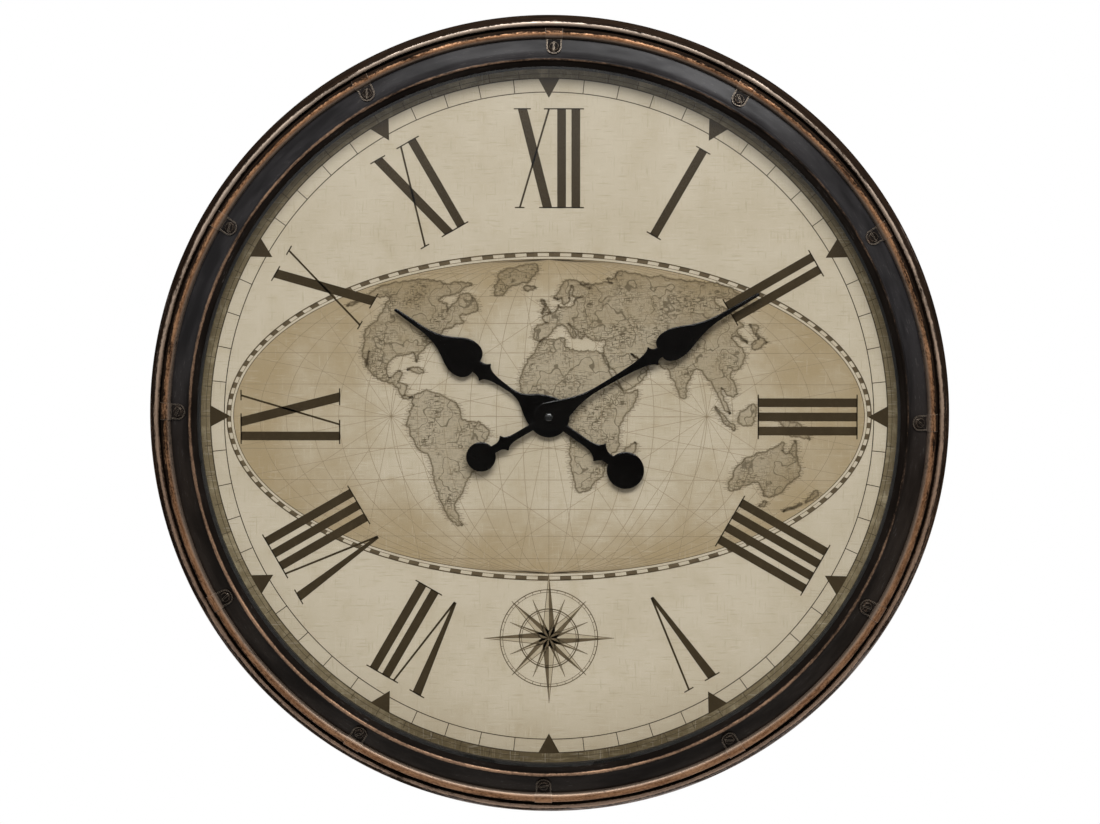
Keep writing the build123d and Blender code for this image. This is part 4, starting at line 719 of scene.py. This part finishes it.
# Map in one oval, from coarse coasts in degrees of longitude and latitude
COASTS = [
    [(-168, 66), (-156, 71), (-128, 70), (-110, 68), (-95, 69), (-82, 68), (-85, 63), (-94, 60),
     (-92, 57), (-82, 55), (-79, 52), (-77, 57), (-78, 62), (-70, 61), (-64, 58), (-56, 53), (-60, 50),
     (-66, 49), (-61, 46), (-66, 44), (-70, 42), (-74, 40), (-76, 35), (-81, 31), (-80, 26), (-82, 28),
     (-84, 30), (-90, 29), (-97, 27), (-97, 22), (-94, 18), (-90, 21), (-87, 20), (-88, 16), (-83, 14),
     (-83, 10), (-79, 9), (-83, 8), (-87, 13), (-94, 16), (-105, 20), (-109, 25), (-113, 31), (-110, 24),
     (-115, 29), (-118, 34), (-124, 40), (-124, 47), (-131, 55), (-140, 60), (-150, 60), (-158, 56),
     (-164, 55), (-158, 59), (-165, 62)],
    [(-78, 8), (-72, 12), (-63, 10), (-52, 5), (-49, -1), (-40, -3), (-35, -7), (-39, -14), (-41, -22),
     (-48, -27), (-54, -34), (-58, -38), (-65, -42), (-68, -50), (-69, -54), (-74, -52), (-74, -43),
     (-72, -33), (-70, -20), (-76, -14), (-81, -5), (-80, 0), (-77, 5)],
    [(-6, 35), (3, 37), (10, 37), (11, 33), (20, 31), (30, 31), (33, 28), (36, 22), (39, 15), (44, 11),
     (51, 12), (46, 3), (40, -4), (40, -14), (35, -20), (33, -27), (26, -34), (19, -35), (14, -25),
     (12, -16), (13, -8), (9, -1), (9, 4), (4, 6), (-8, 4), (-13, 9), (-17, 14), (-16, 21), (-10, 29)],
    [(-9, 43), (-9, 37), (-5, 36), (0, 39), (4, 43), (9, 44), (12, 42), (16, 38), (18, 40), (13, 45),
     (19, 42), (22, 37), (24, 40), (27, 37), (36, 36), (35, 32), (35, 28), (39, 21), (43, 13), (51, 15),
     (59, 22), (56, 26), (50, 29), (57, 26), (66, 25), (72, 20), (77, 8), (80, 14), (88, 22), (94, 17),
     (98, 8), (103, 1), (100, 13), (105, 9), (109, 13), (107, 20), (115, 23), (122, 31), (119, 37),
     (125, 39), (127, 35), (129, 37), (128, 41), (135, 44), (141, 52), (136, 55), (143, 59), (155, 59),
     (157, 51), (163, 58), (171, 60), (178, 65), (177, 68), (168, 70), (158, 70), (140, 73), (125, 73),
     (112, 75), (104, 77), (90, 75), (80, 72), (70, 72), (68, 68), (58, 69), (44, 67), (40, 65),
     (33, 67), (41, 67), (28, 71), (18, 69), (10, 63), (5, 60), (8, 58), (11, 59), (13, 56), (17, 58),
     (18, 62), (22, 66), (25, 65), (22, 61), (29, 60), (23, 58), (20, 55), (11, 54), (8, 55), (5, 52),
     (1, 50), (-4, 48), (-1, 45)],
    [(114, -22), (122, -18), (129, -15), (136, -12), (136, -16), (141, -17), (142, -11), (146, -19),
     (153, -26), (150, -37), (144, -38), (138, -35), (131, -31), (124, -33), (115, -34)],
    [(-45, 60), (-52, 65), (-55, 70), (-68, 76), (-60, 82), (-30, 83), (-18, 78), (-22, 70), (-38, 66)],
    [(-5, 50), (1, 51), (0, 53), (-2, 56), (-4, 58), (-6, 57), (-3, 54), (-5, 52)],
    [(44, -25), (47, -25), (50, -15), (49, -12), (44, -17)],
    [(130, 32), (136, 34), (141, 36), (141, 41), (145, 43), (142, 45), (140, 42), (138, 37), (132, 35)],
    [(131, -1), (141, -3), (150, -10), (143, -9), (138, -8)],
    [(109, 1), (117, 6), (118, 1), (115, -4), (110, -3)],
    [(95, 5), (104, -3), (106, -6), (101, -3)],
    [(173, -35), (178, -38), (175, -41), (173, -39)],
    [(172, -41), (173, -43), (168, -46), (167, -45)],
    [(-85, 22), (-75, 20), (-78, 22.5)],
    [(-24, 65), (-19, 66.5), (-14, 65), (-19, 63.5)],
    [(145, -41), (148, -41), (147, -43.5)],
]


def flat(longitude, latitude):
    """Equal-area oval projection, in millimetres."""
    rise = math.radians(latitude)
    angle = rise
    for _ in range(12):
        slope = 2 + 2 * math.cos(2 * angle)
        if slope < 1e-6:
            break
        angle -= (2 * angle + math.sin(2 * angle) - math.pi * math.sin(rise)) / slope
    return (MAP_HALF_WIDTH * longitude / 180 * math.cos(angle), MAP_HALF_HEIGHT * math.sin(angle))


def smooth_ring(points, steps):
    """Closed curve through points."""
    made = []
    count = len(points)
    for index in range(count):
        a, b, c, d = (points[(index + shift) % count] for shift in (-1, 0, 1, 2))
        for step in range(steps):
            t = step / steps
            made.append(tuple(
                0.5 * (2 * b[k] + (c[k] - a[k]) * t + (2 * a[k] - 5 * b[k] + 4 * c[k] - d[k]) * t**2
                       + (3 * b[k] - a[k] - 3 * c[k] + d[k]) * t**3) for k in (0, 1)))
    return made


def ripple(points, size):
    """Small bays along a coast."""
    made = []
    for x, z in points:
        wave = math.sin(0.41 * x + 1.3 * math.sin(0.23 * z)) + 0.6 * math.sin(0.93 * z + 0.7 * x)
        wave += 0.5 * math.sin(2.1 * z - 1.6 * x)
        other = math.sin(0.47 * z + 1.1 * math.sin(0.31 * x)) + 0.6 * math.sin(0.88 * x - 0.6 * z)
        other += 0.5 * math.sin(1.9 * x + 1.7 * z)
        made.append((x + size * wave, z + size * other))
    return made


HATCH_PITCH = 1.5
HATCH_REACH = 4.2
HATCH_WAVE = 1.4
land_tint = Print("dial_map_land", paper_material("land_tint", 0.78, (1.0, 0.98, 0.93), 0.9), 0.02)
shore = Print("dial_map_shore", paper_material("shore_tint", 0.62, (1.0, 0.97, 0.9), 0.5), 0.025)
coast_lines = Print("dial_map_coasts", map_ink, 0.035)
hatching = Print("dial_map_hatching", map_ink, 0.03)
for coast in COASTS:
    ring = ripple(smooth_ring([flat(*spot) for spot in coast], 9), 0.8)
    land_tint.area(ring)
    shore.line(ring, 2.4, closed=True)
    coast_lines.line(ring, 0.6, closed=True)
    turning = winding(ring)
    for a, b in zip(ring, ring[1:] + ring[:1]):
        low, high = sorted((a[1], b[1]))
        outward = math.copysign(1.0, (b[1] - a[1]) * turning)
        for row in range(math.ceil(low / HATCH_PITCH), math.floor(high / HATCH_PITCH) + 1):
            x = a[0] + (b[0] - a[0]) * (row * HATCH_PITCH - a[1]) / (b[1] - a[1])
            reach = outward * (HATCH_REACH + HATCH_WAVE * math.sin(1.9 * row))
            hatching.line([(x, row * HATCH_PITCH), (x + reach, row * HATCH_PITCH)], 0.36)
graticule = Print("dial_map_grid", fine_ink, 0.03)
for longitude in range(-165, 180, 15):
    graticule.line([flat(longitude, latitude) for latitude in range(-90, 91, 5)], 0.42)
longitudes = [*range(-180, 181, 8), 180]
for latitude in range(-75, 90, 15):
    graticule.line([flat(longitude, latitude) for longitude in longitudes], 0.42)
bearings = Print("dial_map_bearings", fine_ink, 0.015)
for middle in (-150.0, 0.0, 150.0):
    for step in range(16):
        turn = math.radians(11.25 + 22.5 * step)
        run, rise = math.sin(turn) / MAP_HALF_WIDTH, math.cos(turn) / MAP_HALF_HEIGHT
        start = middle / MAP_HALF_WIDTH
        square = run**2 + rise**2
        reach = (-start * run + math.sqrt((start * run) ** 2 - square * (start**2 - 1))) / square
        bearings.line([(middle, 0.0), (middle + reach * math.sin(turn), reach * math.cos(turn))], 0.34)
SCALE_INNER = 2.6
SCALE_OUTER = 6.4
border = Print("dial_map_border", map_ink, 0.035)


def oval(grow):
    """Outline that is larger than the map by grow."""
    width, height = MAP_HALF_WIDTH + grow, MAP_HALF_HEIGHT + grow
    turns = [math.radians(step) for step in range(360)]
    return [(width * math.sin(turn), height * math.cos(turn)) for turn in turns]


for grow, width in ((0.0, 0.7), (SCALE_INNER, 0.5), (SCALE_OUTER, 1.2)):
    border.line(oval(grow), width, closed=True)
inner_edge, outer_edge = oval(SCALE_INNER), oval(SCALE_OUTER)
for step in range(0, 360, 4):
    after = (step + 2) % 360
    border.area([inner_edge[step], inner_edge[after], outer_edge[after], outer_edge[step]])
for layer in (land_tint, shore, coast_lines, hatching, graticule, bearings, border):
    layer.make()

# Compass rose in the place under the hands
ROSE = (0.0, -212.0)
ROSE_SCALE = (44.0, 46.5)
rose = Print("dial_compass_rose", map_ink, 0.045)
rose_light = Print("dial_compass_light", paper_material("rose_tint", 0.8, (1.0, 0.97, 0.9)), 0.04)
for count, offset, reach, waist in ((8, 22.5, 40.0, 13.0), (4, 45.0, 50.0, 15.0), (4, 0.0, 62.0, 17.0)):
    for point in range(count):
        angle = offset + point * 360 / count
        tip = clock_spot(reach, angle, ROSE)
        half = 22.5 if count == 8 else 45.0
        left = clock_spot(waist * 0.5, angle - half, ROSE)
        right = clock_spot(waist * 0.5, angle + half, ROSE)
        rose_light.area([ROSE, left, tip])
        rose.area([ROSE, right, tip])
        rose.line([left, tip], 0.6)
for radius, width in ((26.0, 0.6), (28.0, 1.1), (ROSE_SCALE[0], 0.5), (ROSE_SCALE[1], 0.9)):
    rose.circle(radius, width, ROSE, 120)
for step in range(0, 360, 10):
    rose.line([clock_spot(radius, step, ROSE) for radius in ROSE_SCALE], 0.5)
rose.make()
rose_light.make()

# Finishes of the other solids
put("glass_pane", glass_material())
rubber = plain_material("black_rubber", (0.012, 0.012, 0.012), (0.022, 0.021, 0.02), 0.7, specular=0.3)
spacer = plain_material("black_spacer", (0.010, 0.009, 0.008), (0.018, 0.016, 0.014), 0.55, specular=0.3)
board = board_material()
zinc = plain_material("zinc_steel", (0.60, 0.60, 0.58), (0.48, 0.49, 0.50), 0.36, 1.0, scale=160.0)
black_plastic = plain_material(
    "movement_black", (0.018, 0.018, 0.019), (0.026, 0.026, 0.027), 0.5, scale=900.0, grain=0.4)
brass = plain_material("brass", (0.72, 0.53, 0.25), (0.62, 0.43, 0.18), 0.3, 1.0, scale=240.0)
white_plastic = plain_material("gear_plastic", (0.78, 0.77, 0.72), (0.70, 0.69, 0.64), 0.45, scale=500.0)
magnet = plain_material("rotor_magnet", (0.12, 0.12, 0.125), (0.18, 0.18, 0.18), 0.5, 0.8, scale=700.0)
wire = plain_material(
    "copper_wire", (0.62, 0.27, 0.13), (0.46, 0.18, 0.08), 0.35, 0.9, scale=500.0, stretch=(14.0, 1.0, 1.0))
circuit = plain_material("circuit_green", (0.03, 0.16, 0.07), (0.05, 0.21, 0.10), 0.4, scale=700.0)
jacket = plain_material("cell_jacket", (0.06, 0.06, 0.065), (0.09, 0.09, 0.095), 0.35, scale=300.0)
hand_black = plain_material(
    "hand_black", (0.0018, 0.0014, 0.0012), (0.003, 0.0024, 0.002), 0.16, scale=30.0, grain=0.02,
    specular=0.09)
nut_black = plain_material(
    "nut_black", (0.004, 0.0036, 0.0034), (0.006, 0.0055, 0.005), 0.2, scale=200.0, grain=0.03)
FINISH_OF = {
    "glass_gasket": rubber, "rubber_washer": rubber, "spacer_ring": spacer, "dial_board": board,
    "board_clips": zinc, "board_clip_screws": zinc, "hanger_plate": zinc, "hanger_rivets": zinc,
    "battery_contacts": zinc, "quartz_crystal": zinc, "stator": zinc, "movement_case": black_plastic,
    "movement_plate": black_plastic, "mounting_bush": brass, "bush_washer": brass, "bush_nut": brass,
    "centre_wheel": brass, "hour_collet": brass, "minute_collet": brass, "third_wheel": white_plastic,
    "minute_wheel": white_plastic, "hour_wheel": white_plastic, "setting_knob": white_plastic,
    "rotor": magnet, "drive_coil": wire, "circuit_board": circuit, "battery": jacket,
    "hour_hand": hand_black, "minute_hand": hand_black, "cap_nut": nut_black,
}
for node, finish in FINISH_OF.items():
    put(node, finish)

# Studio: white surroundings, a pale floor, a large soft light above the front, a weak one behind, the camera
scene = bpy.context.scene
scene.view_settings.view_transform = "Standard"

AMBIENT = 0.24
world = bpy.data.worlds.new("studio")
scene.world = world
world.use_nodes = True
world.node_tree.nodes.clear()
w = Nodes(world.node_tree)
path = w.node("LightPath").outputs
direction = w.node("SeparateXYZ", Vector=w.node("TexCoord").outputs["Generated"]).outputs


def by_elevation(low, high, to_low, to_high):
    """Smooth step between two elevations in degrees."""
    return w.span(direction[2], math.sin(math.radians(low)), math.sin(math.radians(high)), to_low, to_high)


# What is mirrored: white above the horizon and the pale ground, with a dark stretch between them
horizon = by_elevation(-4.3, -2.7, 0.02, 0.75)
sky = by_elevation(-2.7, 12.0, 0.0, 1.0)
ground = by_elevation(-20.0, -12.0, 0.55, 0.0)
around = w.most(w.most(horizon, sky), ground)
seen = w.most(path["Is Camera Ray"], path["Is Transmission Ray"])
mirrored = w.times(path["Is Glossy Ray"], around)
ambient = w.math("MULTIPLY_ADD", path["Is Glossy Ray"], -AMBIENT, AMBIENT)
level = w.most(seen, w.plus(mirrored, ambient))
back = w.node("Background", Color=(1.0, 1.0, 1.0, 1.0), Strength=level)
w.node("OutputWorld", Surface=back.outputs[0])

FLOOR_HEIGHT = -1.1
FLOOR_RADIUS = 1.3
FLOOR_FADE = (0.35, 1.25)
FLOOR_STEPS = 128


def floor_material():
    """Pale floor that takes the shadow and fades into the white around it."""
    s = Shader("pale_floor")
    place = s.node("SeparateXYZ", Vector=s.place()).outputs
    path = s.node("LightPath").outputs
    seen = s.most(path["Is Camera Ray"], path["Is Transmission Ray"])
    edge = s.times(seen, s.span(s.length(place[0], place[1]), *FLOOR_FADE))
    s.set(color=(0.66, 0.66, 0.66, 1.0), rough=0.9, specular=0.1)
    white = s.node("Emission", Color=(1.0, 1.0, 1.0, 1.0), Strength=1.0)
    both = s.node("MixShader", i0=edge, i1=s.bsdf.outputs[0], i2=white.outputs[0])
    s.tree.links.new(both.outputs[0], s.output.inputs["Surface"])
    return s.material


floor_mesh = bpy.data.meshes.new("floor")
floor_rim = []
for step in range(FLOOR_STEPS):
    turn = 2 * math.pi * step / FLOOR_STEPS
    floor_rim.append((FLOOR_RADIUS * math.cos(turn), FLOOR_RADIUS * math.sin(turn), FLOOR_HEIGHT))
floor_mesh.from_pydata(floor_rim, [], [list(range(FLOOR_STEPS))])
floor_mesh.materials.append(floor_material())
floor = bpy.data.objects.new("floor", floor_mesh)
scene.collection.objects.link(floor)
floor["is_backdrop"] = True


def softbox(name, place, width, height, power, glossy=True):
    """Rectangular soft light that faces the middle of the clock."""
    lamp = bpy.data.lights.new(name, "AREA")
    lamp.shape = "RECTANGLE"
    lamp.size, lamp.size_y = width, height
    lamp.energy = power
    made = bpy.data.objects.new(name, lamp)
    made.location = place
    made.rotation_euler = (-Vector(place)).to_track_quat("-Z", "Y").to_euler()
    made.visible_camera = False
    made.visible_glossy = glossy
    scene.collection.objects.link(made)


softbox("key", (0.8, -5.0, 5.8), 8.0, 3.0, 870.0)
softbox("rear_fill", (2.2, 4.2, 1.2), 2.4, 2.4, 160.0, glossy=False)

CAMERA_DISTANCE = 9.0
CAMERA_AZIMUTH = math.radians(1.0)
CAMERA_ELEVATION = math.radians(4.9)
LENS_PER_METRE = 34.3235
aim = Vector((0.00062, 0.0219, 0.00223))
back_off = Vector((
    math.sin(CAMERA_AZIMUTH) * math.cos(CAMERA_ELEVATION),
    -math.cos(CAMERA_AZIMUTH) * math.cos(CAMERA_ELEVATION),
    math.sin(CAMERA_ELEVATION),
))
camera_data = bpy.data.cameras.new("camera")
camera_data.sensor_width = 36.0
camera_data.lens = LENS_PER_METRE * CAMERA_DISTANCE
camera_data.clip_end = 100.0
camera = bpy.data.objects.new("camera", camera_data)
camera.location = aim + back_off * CAMERA_DISTANCE
camera.rotation_euler = (-back_off).to_track_quat("-Z", "Y").to_euler()
scene.collection.objects.link(camera)
scene.camera = camera

bpy.context.view_layer.update()
low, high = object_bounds()
